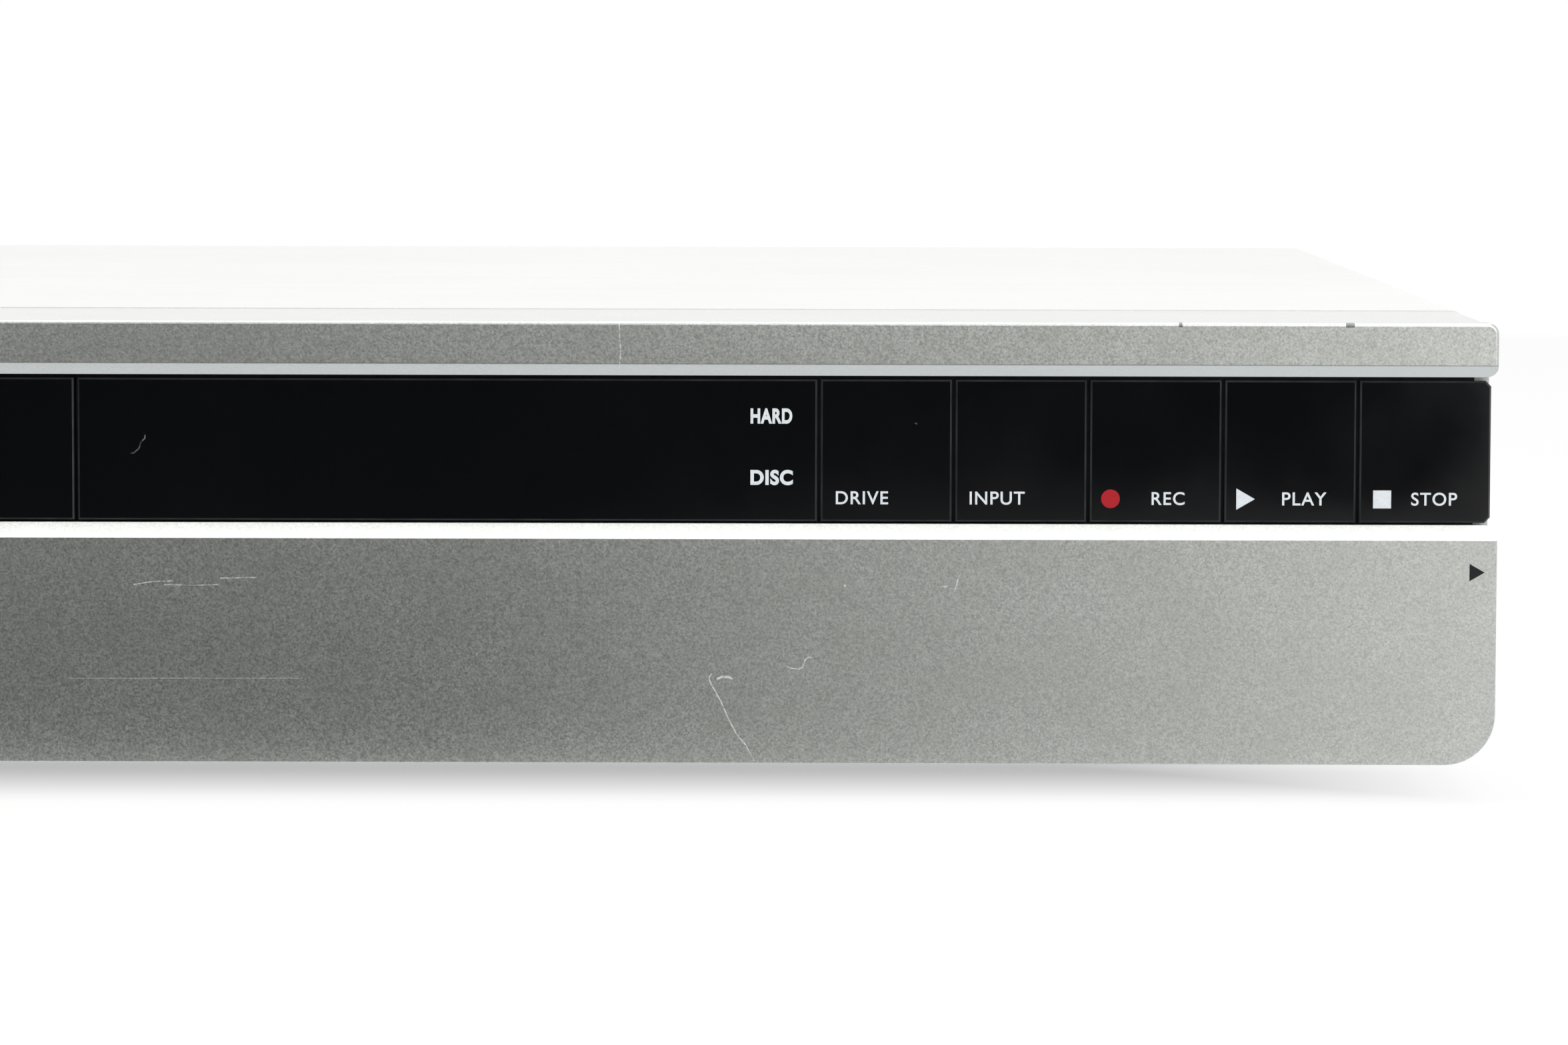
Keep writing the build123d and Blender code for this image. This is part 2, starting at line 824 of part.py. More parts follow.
def pocket_back():
    """The rear face of the pocket's floor."""
    return plate_y + pocket_depth + pocket_floor


def front_socket_places():
    """Where the round sockets are across the pocket."""
    left = pocket_span()[0][0]
    return [left + phono_lead + i * phono_pitch for i in range(front_phono_count)]


def small_socket_span(clearance):
    """The limits of the digital video socket in the pocket."""
    x = front_socket_places()[-1] + phono_pitch + small_socket_width / 2
    return (
        around(x, small_socket_width / 2 + clearance),
        (pocket_back() - pocket_floor - small_socket_reach, pocket_back()),
        around(pocket_middle(), small_socket_height / 2 + clearance),
    )


def right_board_span():
    """The limits of the board behind the display and the keys."""
    x = (window_left + front_board_margin, cheek_inner - carrier_wall - front_board_margin)
    top = band_top + front_board_margin / 2
    return x, (front_board_y, front_board_y + board_thickness), (top - front_board_height, top)


def left_board_span():
    """The limits of the board behind the standby and eject keys."""
    x = (carrier_wall + front_board_margin - cheek_inner, drive_x - drive_half_width - front_board_margin)
    return x, right_board_span()[1], right_board_span()[2]


def boss_places():
    """Where the front boards are fastened."""
    places = []
    for x, y, z in (right_board_span(), left_board_span()):
        places += [(a, z[1] - boss_radius) for a in (x[0] + boss_radius, x[1] - boss_radius)]
    return places


def front_flap():
    """The silver flap with its bevelled top, round lower corners and two hinge arms."""
    rear = front_y + flap_thickness
    flap = block(around(0, half_width), (front_y, rear), (foot_height, flap_top))
    upper = edges_at(flap, Axis.Y, Axis.Z, flap_top)
    flap = fillet(upper, flap_top_corner)
    lower = edges_at(flap, Axis.Y, Axis.Z, foot_height)
    flap = fillet(lower, flap_bottom_corner)
    flap = chamfer(flap.faces().sort_by(Axis.Y)[0].edges().sort_by(Axis.Z)[:-3], flap_edge)
    wedge = Polyline(
        (front_y - 1, flap_top - flap_bevel - 1),
        (front_y - 1, flap_top + 1),
        (front_y + flap_bevel + 1, flap_top + 1),
        close=True,
    )
    flap -= extrude(Plane.YZ * make_face(wedge), half_width + 1, both=True)
    for x in hinge_places():
        side = around(x, flap_arm_width / 2)
        arm = block(side, (rear, flap_axis_y), around(flap_axis_z, flap_arm_radius))
        arm += crossways(flap_arm_radius, side, flap_axis_y, flap_axis_z)
        arm -= crossways(flap_pin_radius + pin_clearance, around(x, flap_arm_width), flap_axis_y, flap_axis_z)
        flap += arm
    return flap


def flap_pins():
    """The two steel pins that the flap turns on."""
    half = flap_pin_length / 2
    return [crossways(flap_pin_radius, around(x, half), flap_axis_y, flap_axis_z) for x in hinge_places()]


def front_boards():
    """The two boards behind the band."""
    return [block(*right_board_span()), block(*left_board_span())]


def tact_switches():
    """One small switch behind each key."""
    switches = []
    for name, low, high in key_places():
        x = (low + high) / 2
        body_front = front_board_y - switch_body
        z = around(band_middle, switch_size / 2)
        body = block(around(x, switch_size / 2), (body_front, front_board_y), z)
        plunger = lengthways(plunger_radius, x, (body_front - plunger_length, body_front), band_middle)
        switches.append(body + plunger)
    return switches


def display_tube():
    """The glass display behind the window."""
    x = (window_left + display_margin, keys_left - display_margin)
    y = (front_board_y - display_thickness, front_board_y)
    glass = block(x, y, around(band_middle, display_height / 2))
    return chamfer(glass.faces().sort_by(Axis.Y)[0].edges(), key_edge)


def remote_receiver():
    """The infrared receiver behind its window, with a domed face."""
    x = (standby_right + eject_left) / 2
    y = (front_board_y - receiver_size / 2, front_board_y)
    body = block(around(x, receiver_size / 2), y, around(band_middle, receiver_size / 2))
    dome = Pos(x, y[0], band_middle) * Sphere(receiver_size / 4)
    return body + dome


def phono(x, z, face_y, reach, depth, width):
    """A phono socket: a barrel in front of a face and its body behind."""
    barrel = lengthways(phono_radius, x, (face_y - reach, face_y), z)
    barrel -= lengthways(phono_bore, x, (face_y - reach, face_y - pocket_floor), z)
    pin = lengthways(phono_bore / 2, x, (face_y - reach + 1, face_y - pocket_floor), z)
    pin -= lengthways(phono_bore / 4, x, (face_y - reach, face_y - pocket_floor), z)
    body = block(around(x, width / 2), (face_y, face_y + depth), around(z, width / 2))
    return barrel + pin + body


def front_sockets():
    """The round sockets and the digital video socket behind the flap."""
    back = pocket_back()
    reach = phono_reach + pocket_floor
    middle = pocket_middle()
    sockets = []
    for x in front_socket_places():
        sockets.append(phono(x, middle, back, reach, phono_body_depth, phono_body))
    x, y, z = small_socket_span(0.0)
    shell = block(x, y, z) - block(around_gap(x), (y[0] - 1, y[1] - 1), around_gap(z))
    shell += block(x, (y[1], y[1] + phono_body_depth), z)
    return sockets + [shell]


def around_gap(span):
    """A span narrowed by a thin wall at both ends."""
    return (span[0] + thin_wall, span[1] - thin_wall)


def socket_board():
    """The board behind the front sockets, standing on the carrier's floor."""
    x = pocket_span()[0]
    y = pocket_back() + phono_body_depth
    return block(x, (y, y + board_thickness), (foot_height + carrier_wall, pocket_span()[1][1]))


def drive_base():
    """The drive's moulded frame: walls, tray rails, gear deck, traverse ears and legs."""
    outer = around(drive_x, drive_half_width)
    inner = around(drive_x, drive_half_width - drive_wall)
    height = (drive_bottom, drive_top)
    frame = block(outer, (drive_front, drive_rear), height)
    frame -= block(inner, (drive_front - 1, drive_rear - drive_wall), (drive_bottom - 1, drive_top + 1))
    floor = (drive_bottom, drive_bottom + deck_wall)
    frame += block(inner, (traverse_rear - 2 * traverse_ear_wall, drive_rear - drive_wall), floor)
    rail_end = tray_rear + traverse_ear_wall
    for side in (-1, 1):
        wall = drive_x + side * (drive_half_width - drive_wall)
        rail = sorted((wall, wall - side * rail_width))
        under = (tray_bottom - tray_gap - rail_height, tray_bottom - tray_gap)
        over = (tray_top + tray_gap, tray_top + tray_gap + rail_height)
        frame += block(rail, (drive_front, rail_end), under)
        frame += block(rail, (drive_front, rail_end), over)
        ear = sorted((drive_x + side * (traverse_half_width + traverse_ear_gap),
                      drive_x + side * (traverse_half_width + traverse_ear_gap + traverse_ear_wall)))
        ear_top = traverse_axis_z + 2 * traverse_pin_radius
        frame += block(ear, around(traverse_rear, 2 * traverse_pin_radius), (drive_bottom, ear_top))
        for y in (lip_end + base_sheet + drive_leg_clearance, drive_rear - drive_leg):
            leg = sorted((drive_x + side * drive_half_width, drive_x + side * (drive_half_width - drive_leg)))
            frame += block(leg, (y, y + drive_leg), (base_top, drive_bottom + deck_wall))
    span = drive_half_width
    frame -= crossways(traverse_pin_radius + pin_clearance, around(drive_x, span - 2 * drive_wall),
                       traverse_rear, traverse_axis_z)
    frame += block(inner, (drive_front, drive_front + deck_length), (deck_top - deck_wall, deck_top))
    for x in (tray_gear_x, pulley_gear_x):
        frame += upright(post_radius, x, load_gear_y, (deck_top, gear_top))
    deck_hole = (deck_top - deck_wall - 1, deck_top + 1)
    frame -= upright(motor_shaft_radius * 2, load_motor_x, load_gear_y, deck_hole)
    return frame


def drive_lid():
    """The drive's steel lid with the hole that the clamper hangs in."""
    x = around(drive_x, drive_half_width + drive_lid_sheet)
    y = (drive_front, drive_rear)
    lid = block(x, y, (drive_top - drive_lid_skirt, drive_top + drive_lid_sheet))
    lid -= block(around(drive_x, drive_half_width), (y[0] - 1, y[1] + 1), (0, drive_top))
    hole = (drive_top - 1, drive_top + drive_lid_sheet + 1)
    lid -= upright(clamper_neck + clamper_gap, drive_x, disc_y, hole)
    return lid


def disc_tray():
    """The sliding tray with its two disc recesses, the slot for the pickup and its rack."""
    x = around(drive_x, tray_half_width)
    tray = block(x, (tray_front, tray_rear), (tray_bottom, tray_top))
    tray -= upright(disc_radius, drive_x, disc_y, (recess_floor, tray_top + 1))
    tray -= upright(small_disc_radius, drive_x, disc_y, (recess_floor - small_disc_recess, tray_top + 1))
    tray -= upright(tray_slot_half, drive_x, disc_y, (tray_bottom - 1, tray_top + 1))
    tray -= block(around(drive_x, tray_slot_half), (disc_y, tray_rear + 1), (tray_bottom - 1, tray_top + 1))
    margin = 2 * load_module
    y = (load_gear_y - 2 * margin, load_gear_y + tray_travel + 2 * margin)
    back = rack_depth - load_module * dedendum
    tray += rack(load_module, rack_x, 1, load_gear_y, y, (gear_bottom, tray_bottom), back)
    return tray


def tray_gear():
    """The wheel that drives the tray's rack."""
    wheel = gear(tray_gear_teeth, load_module, (gear_bottom, gear_top))
    wheel -= upright(post_radius + pin_clearance, 0, 0, (gear_bottom - 1, gear_top + 1))
    return Pos(tray_gear_x, load_gear_y, 0) * wheel


def grooved(radius, width, z):
    """A pulley with a square groove of the belt's size."""
    wheel = upright(radius + pulley_flange, 0, 0, z)
    middle = (z[0] + z[1]) / 2
    groove = upright(radius + 2 * pulley_flange, 0, 0, around(middle, width / 2))
    groove -= upright(radius, 0, 0, around(middle, width))
    return wheel - groove


def pulley_gear():
    """The belt pulley and the pinion above it, in one moulding."""
    wheel = grooved(pulley_radius, belt_size + 2 * belt_clearance, (pulley_bottom, pulley_top))
    wheel += upright(pulley_pinion_radius - load_module * dedendum, 0, 0, (pulley_top, gear_bottom))
    wheel += gear(pulley_pinion_teeth, load_module, (gear_bottom, gear_top), math.pi / pulley_pinion_teeth)
    wheel -= upright(post_radius + pin_clearance, 0, 0, (pulley_bottom - 1, gear_top + 1))
    return Pos(pulley_gear_x, load_gear_y, 0) * wheel


def motor_pulley():
    """The small pulley on the loading motor's shaft."""
    wheel = grooved(motor_pulley_radius, belt_size + 2 * belt_clearance, (pulley_bottom, pulley_top))
    wheel -= upright(motor_shaft_radius + pin_clearance, 0, 0, (pulley_bottom - 1, pulley_top + 1))
    return Pos(load_motor_x, load_gear_y, 0) * wheel


def belt_loop(offset):
    """The face inside a loop that lies a distance outside both pulleys' grooves."""
    large = Circle(pulley_radius + offset)
    small = Pos(belt_span, 0) * Circle(motor_pulley_radius + offset)
    return make_hull(large.edges() + small.edges())


def drive_belt():
    """The square rubber belt round the two pulleys."""
    middle = (pulley_bottom + pulley_top) / 2
    ring = belt_loop(belt_clearance + belt_size) - belt_loop(belt_clearance)
    return Pos(pulley_gear_x, load_gear_y, middle - belt_size / 2) * extrude(ring, belt_size)


def loading_motor():
    """The loading motor under the deck with its shaft through it."""
    top = deck_top - deck_wall
    motor = upright(load_motor_radius, load_motor_x, load_gear_y, (top - load_motor_height, top))
    return motor + upright(motor_shaft_radius, load_motor_x, load_gear_y, (top, pulley_top))


def traverse_frame():
    """The tilting frame with its pivot pins, rod lugs and pickup window."""
    x = around(drive_x, traverse_half_width)
    z = (traverse_bottom, traverse_top)
    frame = block(x, (traverse_front, traverse_rear), z)
    window = around(drive_x, traverse_window_half)
    through = (traverse_bottom - 1, traverse_top + 1)
    frame -= block(window, (window_front, window_rear), through)
    frame -= upright(turntable_sleeve + 1, drive_x, disc_y, through)
    frame -= upright(motor_shaft_radius + 1, sled_gear_x, sled_pinion_y, through)
    frame += crossways(traverse_pin_radius, around(drive_x, traverse_half_width + traverse_pin_length),
                       traverse_rear, traverse_axis_z)
    for side in (-1, 1):
        for lug_y in ((window_front - rod_lug, window_front), (window_rear, window_rear + rod_lug)):
            lug = block(around(drive_x + side * rod_half_span, 2 * rod_radius), lug_y,
                        (rod_z - 2 * rod_radius, rod_z + 2 * rod_radius))
            frame += lug
        rod = (window_front - rod_lug / 2, window_rear + rod_lug / 2)
        frame -= lengthways(rod_radius, drive_x + side * rod_half_span, rod, rod_z)
    post = (traverse_top, sled_rack_bottom + sled_rack_depth)
    return frame + upright(post_radius, sled_gear_x, sled_gear_y, post)


def guide_rods():
    """The two steel rods that the pickup slides on."""
    y = (window_front - rod_lug / 2, window_rear + rod_lug / 2)
    return [lengthways(rod_radius, drive_x + side * rod_half_span, y, rod_z) for side in (-1, 1)]


def pickup_sled():
    """The pickup's die-cast body with its rod bores and its rack."""
    y = (sled_front, sled_rear)
    sled = block(around(drive_x, sled_half_width), y, (sled_bottom, sled_top))
    sled = chamfer(sled.edges().filter_by(Axis.Z), sled_corner)
    for side in (-1, 1):
        x = drive_x + side * rod_half_span
        sled -= lengthways(rod_radius + pin_clearance, x, (y[0] - 1, y[1] + 1), rod_z)
    margin = 2 * sled_module
    span = (sled_gear_y - sled_travel - 2 * margin, sled_gear_y + 2 * margin)
    z = (sled_rack_bottom, sled_rack_bottom + sled_rack_depth)
    back = sled_rack_back * 2
    sled += rack(sled_module, sled_rack_x, 1, sled_gear_y, span, z, back)
    return sled


def pickup_lens():
    """The pickup's lens in its ring."""
    lens = upright(lens_radius, drive_x, lens_y, (sled_top, sled_top + lens_height))
    return chamfer(lens.edges().sort_by(Axis.Z)[-1], lens_edge)


def sled_gear():
    """The wheel that drives the pickup's rack."""
    z = (sled_rack_bottom, sled_rack_bottom + sled_rack_depth)
    wheel = gear(sled_gear_teeth, sled_module, z)
    wheel -= upright(post_radius + pin_clearance, 0, 0, (z[0] - 1, z[1] + 1))
    return Pos(sled_gear_x, sled_gear_y, 0) * wheel


def sled_pinion():
    """The pinion on the sled motor's shaft."""
    z = (sled_rack_bottom, sled_rack_bottom + sled_rack_depth)
    wheel = gear(sled_pinion_teeth, sled_module, z)
    wheel -= upright(motor_shaft_radius + pin_clearance, 0, 0, (z[0] - 1, z[1] + 1))
    return Pos(sled_gear_x, sled_pinion_y, 0) * wheel


def sled_motor():
    """The sled motor under the traverse."""
    z = (traverse_bottom - sled_motor_height, traverse_bottom)
    motor = upright(sled_motor_radius, sled_gear_x, sled_pinion_y, z)
    top = sled_rack_bottom + sled_rack_depth
    return motor + upright(motor_shaft_radius, sled_gear_x, sled_pinion_y, (traverse_bottom, top))


def spindle_motor():
    """The spindle motor under the traverse with its shaft."""
    z = (traverse_bottom - spindle_motor_height, traverse_bottom)
    motor = upright(spindle_motor_radius, drive_x, disc_y, z)
    return motor + upright(motor_shaft_radius, drive_x, disc_y, (traverse_bottom, turntable_top))


def turntable():
    """The turntable and its centring hub."""
    plate = (turntable_top - turntable_plate, turntable_top)
    table = upright(turntable_radius, drive_x, disc_y, plate)
    hub = upright(hub_radius, drive_x, disc_y, (turntable_top, turntable_top + hub_height))
    table += chamfer(hub.edges().sort_by(Axis.Z)[-1], hub_taper)
    table += upright(turntable_sleeve, drive_x, disc_y, (traverse_top, plate[0]))
    table -= upright(motor_shaft_radius + pin_clearance, drive_x, disc_y, (traverse_top - 1, turntable_top))
    return table


def clamper():
    """The clamper that hangs in the lid's hole above the turntable."""
    low = drive_top - clamper_gap
    high = drive_top + drive_lid_sheet + clamper_gap
    puck = upright(clamper_radius, drive_x, disc_y, (low - clamper_plate, low))
    puck += upright(clamper_neck, drive_x, disc_y, (low, high))
    return puck + upright(clamper_flange, drive_x, disc_y, (high, high + clamper_cap))


def hard_disk_span():
    """The hard disk's limits."""
    x = (hard_disk_x, hard_disk_x + hard_disk_width)
    y = (hard_disk_y, hard_disk_y + hard_disk_length)
    return x, y, (hard_disk_z, hard_disk_z + hard_disk_height)


def hard_disk_body():
    """The hard disk's cast body."""
    x, y, z = hard_disk_span()
    body = block(x, y, (z[0], z[1] - hard_disk_lid))
    return fillet(body.edges().filter_by(Axis.Z), hard_disk_corner)


def hard_disk_cover():
    """The hard disk's pressed top plate."""
    x, y, z = hard_disk_span()
    plate = block(around_gap(x), around_gap(y), (z[1] - hard_disk_lid, z[1]))
    return fillet(plate.edges().filter_by(Axis.Z), hard_disk_corner)


def hard_disk_bracket():
    """The steel bracket that holds the hard disk above the floor."""
    x, y, z = hard_disk_span()
    bracket = block(x, y, (z[0] - bracket_sheet, z[0]))
    for side, edge in ((-1, x[0]), (1, x[1])):
        wall = sorted((edge, edge + side * bracket_sheet))
        bracket += block(wall, y, (base_top, z[0] + bracket_flange))
        foot = sorted((edge, edge + side * bracket_flange))
        bracket += block(foot, y, (base_top, base_top + bracket_sheet))
    return bracket


def board_on_stands(x, y):
    """A circuit board with its four screw holes."""
    board = block(x, y, (board_bottom, board_top))
    for a, b in stand_places(x, y):
        board -= upright(screw_radius + screw_clearance, a, b, (board_bottom - 1, board_top + 1))
    return board


def main_chips():
    """The main board's large chips in a row in front of the sockets."""
    y = (header_y + 2 * ribbon_thickness + panel_y - scart_depth) / 2
    across = [scart_x + chip_size / 2 + i * chip_pitch for i in range(chip_count)]
    chips = []
    for x in across:
        chip = block(around(x, chip_size / 2), around(y, chip_size / 2), (board_top, board_top + chip_height))
        chips.append(chamfer(chip.edges().filter_by(Axis.Z), chip_corner))
    return chips


def heat_sink():
    """The finned heat sink on the middle chip."""
    chip = main_chips()[1].bounding_box()
    x = (chip.min.X, chip.max.X)
    y = (chip.min.Y, chip.max.Y)
    low = board_top + chip_height
    sink = block(x, y, (low, low + 2 * heat_sink_fin))
    for i in range(heat_sink_fins):
        left = x[0] + (x[1] - x[0] - heat_sink_fin) * i / (heat_sink_fins - 1)
        sink += block((left, left + heat_sink_fin), y, (low, low + heat_sink_height))
    return sink


def tuner_can():
    """The tuner's screened can with its two aerial sockets."""
    x = (tuner_x, tuner_x + tuner_width)
    can = block(x, (panel_y - tuner_depth, panel_y), (board_top, board_top + tuner_height))
    return can - lengthways(screw_radius + screw_clearance, x[0] + tuner_width / 2,
                            (panel_y - screw_length, panel_y + 1), tuner_z)


def aerial_sockets():
    """The two aerial sockets that stand out behind."""
    sockets = []
    for x in aerial_places():
        barrel = lengthways(aerial_radius, x, (panel_y, rear_y + aerial_length), tuner_z)
        barrel -= lengthways(aerial_bore, x, (rear_y, rear_y + aerial_length + 1), tuner_z)
        barrel += lengthways(aerial_pin, x, (panel_y, rear_y + aerial_length - 1), tuner_z)
        sockets.append(barrel)
    return sockets


def scart_sockets():
    """The two wide sockets, one above the other, each with an open mouth."""
    sockets = []
    middle = scart_x + scart_width / 2
    mouth = rear_y + scart_reach
    for i, z in enumerate(scart_rows):
        low = board_top if i == 0 else z - scart_height / 2
        height = (low, z + scart_height / 2)
        body = block((scart_x, scart_x + scart_width), (panel_y - scart_depth, mouth), height)
        body -= block(around(middle, scart_opening_width / 2), (mouth - scart_opening_depth, mouth + 1),
                      around(z, scart_opening_height / 2))
        sockets.append(body)
    spacer = (scart_rows[0] + scart_height / 2, scart_rows[1] - scart_height / 2)
    link = block((scart_x, scart_x + scart_width), (panel_y - scart_depth, panel_y), spacer)
    return [sockets[0] + link + sockets[1]]


def rear_av_sockets():
    """The block of phono sockets at the rear."""
    x = (rear_phono_x, rear_phono_x + rear_phono_width)
    z = (board_top, board_top + 2 * rear_phono_pitch)
    body = block(x, (panel_y - rear_phono_depth, panel_y), z)
    reach = phono_reach + rear_sheet
    for a, b in rear_phono_places():
        body += lengthways(phono_radius, a, (panel_y, panel_y + reach), b)
        body -= lengthways(phono_bore, a, (panel_y + pocket_floor, panel_y + reach + 1), b)
        body += lengthways(phono_bore / 2, a, (panel_y, panel_y + reach - 1), b)
        body -= lengthways(phono_bore / 4, a, (panel_y + pocket_floor, panel_y + reach + 1), b)
    for a, b in socket_screw_places()[2:4]:
        body -= lengthways(screw_radius + screw_clearance, a, (panel_y - screw_length, panel_y + 1), b)
    return body


def digital_socket():
    """The flat digital picture socket with its tongue."""
    middle = digital_x + digital_width / 2
    z = board_top + digital_height / 2
    mouth = rear_y + digital_reach
    body = block((digital_x, digital_x + digital_width), (panel_y - digital_depth, mouth),
                 (board_top, board_top + digital_height))
    depth = (mouth - digital_opening_depth, mouth + 1)
    body -= block(around(middle, digital_opening_width / 2), depth, around(z, digital_opening_height / 2))
    tongue = (mouth - digital_opening_depth, mouth - digital_reach)
    return body + block(around(middle, digital_tongue_width / 2), tongue, around(z, digital_tongue / 2))


def power_parts():
    """The places of the power board's transformer and capacitors."""
    x = (power_board_x[0] + power_board_x[1]) / 2
    y = (power_board_y[0] + power_board_y[1]) / 2
    return x, y


def transformer():
    """The switching transformer: a core with its bobbin."""
    x, y = power_parts()
    half = transformer_size / 2
    waist = transformer_waist / 2
    core = block(around(x, half), around(y, waist), (board_top, board_top + transformer_height))
    bobbin = block(around(x, waist), around(y, half), (board_top, board_top + bobbin_height))
    return core + bobbin


def capacitors():
    """The tall reservoir capacitors on the power board."""
    x, y = power_parts()
    cans = []
    for i in range(capacitor_count):
        place = y + transformer_size / 2 + capacitor_lead + capacitor_pitch * i
        can = upright(capacitor_radius, x, place, (board_top, board_top + capacitor_height))
        cans.append(chamfer(can.edges().sort_by(Axis.Z)[-1], capacitor_rim))
    return cans


def mains_inlet():
    """The two-pin mains inlet with its round-ended mouth."""
    mouth = rear_y + inlet_reach
    z = around(inlet_z, inlet_height / 2)
    body = block(around(inlet_x, inlet_width / 2), (panel_y - inlet_depth, mouth), z)
    ear = inlet_width / 2 + 3 * screw_head_radius
    body += block(around(inlet_x, ear), (panel_y - pocket_floor, panel_y), z)
    depth = (mouth - inlet_opening_depth, mouth + 1)
    opening_z = around(inlet_z, inlet_opening_height / 2)
    hollow = block(around(inlet_x, inlet_opening_width / 2), depth, opening_z)
    hollow = fillet(hollow.edges().filter_by(Axis.Y), inlet_opening_round)
    body -= hollow
    for side in (-1, 1):
        pin = (mouth - inlet_opening_depth, mouth - inlet_reach)
        body += lengthways(inlet_pin_radius, inlet_x + side * inlet_pin_pitch / 2, pin, inlet_z)
    through = (panel_y - pocket_floor - 1, panel_y + 1)
    for x, height in socket_screw_places()[:2]:
        body -= lengthways(screw_radius + screw_clearance, x, through, height)
    return body


def fan_frame():
    """The fan's square frame with its bore, struts and motor cup."""
    y = (panel_y - fan_depth, panel_y)
    frame = block(around(fan_x, fan_size / 2), y, around(fan_z, fan_size / 2))
    frame = fillet(frame.edges().filter_by(Axis.Y), fan_corner)
    frame -= lengthways(fan_bore, fan_x, (y[0] - 1, y[1] + 1), fan_z)
    strut = (y[0], y[0] + fan_depth - fan_rotor_depth - gear_gap)
    for turn in fan_strut_turns:
        bar = Box(2 * fan_bore + 1, strut[1] - strut[0], fan_strut)
        frame += Pos(fan_x, (strut[0] + strut[1]) / 2, fan_z) * Rot(Y=turn) * bar
    frame += lengthways(fan_hub_radius, fan_x, strut, fan_z)
    return frame + lengthways(post_radius, fan_x, (strut[1], panel_y - gear_gap), fan_z)


def fan_rotor():
    """The fan's hub and its blades."""
    y = (panel_y - fan_rotor_depth, panel_y - gear_gap)
    rotor = lengthways(fan_hub_radius, 0, y, 0)
    middle = (y[0] + y[1]) / 2
    length = fan_blade_radius - fan_hub_radius + fan_blade_root
    for i in range(fan_blades):
        blade = Box(length, fan_rotor_depth, fan_blade_wall)
        leaning = Pos(fan_blade_radius - length / 2, 0, 0) * Rot(X=fan_blade_turn) * blade
        rotor += Pos(0, middle, 0) * Rot(Y=360 * i / fan_blades) * leaning
    trim = lengthways(fan_blade_radius, 0, y, 0)
    rotor = rotor & trim
    rotor -= lengthways(post_radius + pin_clearance, 0, (y[0] - 1, y[1] + 1), 0)
    return Pos(fan_x, 0, fan_z) * rotor


def ribbon(x, start_y, start_z, end_y):
    """A flat cable that runs back level from a plug, bends down and ends on the main board."""
    t = ribbon_thickness
    outline = Polyline(
        (start_y, start_z), (end_y, start_z), (end_y, board_top), (end_y - t, board_top),
        (end_y - t, start_z - t), (start_y, start_z - t), close=True,
    )
    face = make_face(outline)
    outer = face.vertices().sort_by_distance((end_y, start_z, 0))[0]
    face = fillet(outer, ribbon_bend)
    inner = face.vertices().sort_by_distance((end_y - t, start_z - t, 0))[0]
    face = fillet(inner, ribbon_bend - t)
    strip = Pos(x[0], 0, 0) * extrude(Plane.YZ * face, x[1] - x[0])
    plug = block(x, (start_y, start_y + ribbon_plug_depth), around(start_z - t / 2, 2 * t))
    header = block(x, around(end_y - t / 2, 2 * t), (board_top, board_top + ribbon_plug_depth))
    return strip + plug + header


def ribbon_cables():
    """The flat cables from the front board, the drive and the hard disk to the main board."""
    rear_of_front_board = front_board_y + board_thickness
    lane = around((drive_x + drive_half_width + drive_lid_sheet + hard_disk_x) / 2, front_ribbon_width / 2)
    disk_x, disk_y, disk_z = hard_disk_span()
    half = disc_ribbon_width / 2
    drive_z = drive_bottom + 2 * ribbon_bend + board_edge
    return [
        ribbon(lane, rear_of_front_board, band_middle, header_y),
        ribbon(around(drive_x + half, half), drive_rear, drive_z, header_y),
        ribbon(around((disk_x[0] + disk_x[1]) / 2, half), disk_y[1], disk_z[1] - ribbon_bend, header_y),
    ]


def feet():
    """The four round feet."""
    made = []
    for x, y in foot_places():
        foot = upright(foot_radius, x, y, (foot_pad, foot_height))
        made.append(chamfer(foot.edges().sort_by(Axis.Z)[0], foot_edge))
    return made


def foot_pads():
    """The rubber pads under the feet."""
    return [upright(foot_pad_radius, x, y, (0, foot_pad)) for x, y in foot_places()]


def case_screws():
    """The screws of the cover's rear edge and of the sockets."""
    outward = Rot(X=-90)
    made = [screw(x, rear_y + cover_sheet, cover_screw_z(), outward) for x in cover_screw_places()]
    return made + [screw(x, rear_y, z, outward) for x, z in socket_screw_places()]


def board_screws():
    """The screws that hold the two boards on their stands."""
    places = stand_places(main_board_x, main_board_y) + stand_places(power_board_x, power_board_y)
    return [screw(x, y, board_top, Rot(X=0)) for x, y in places]


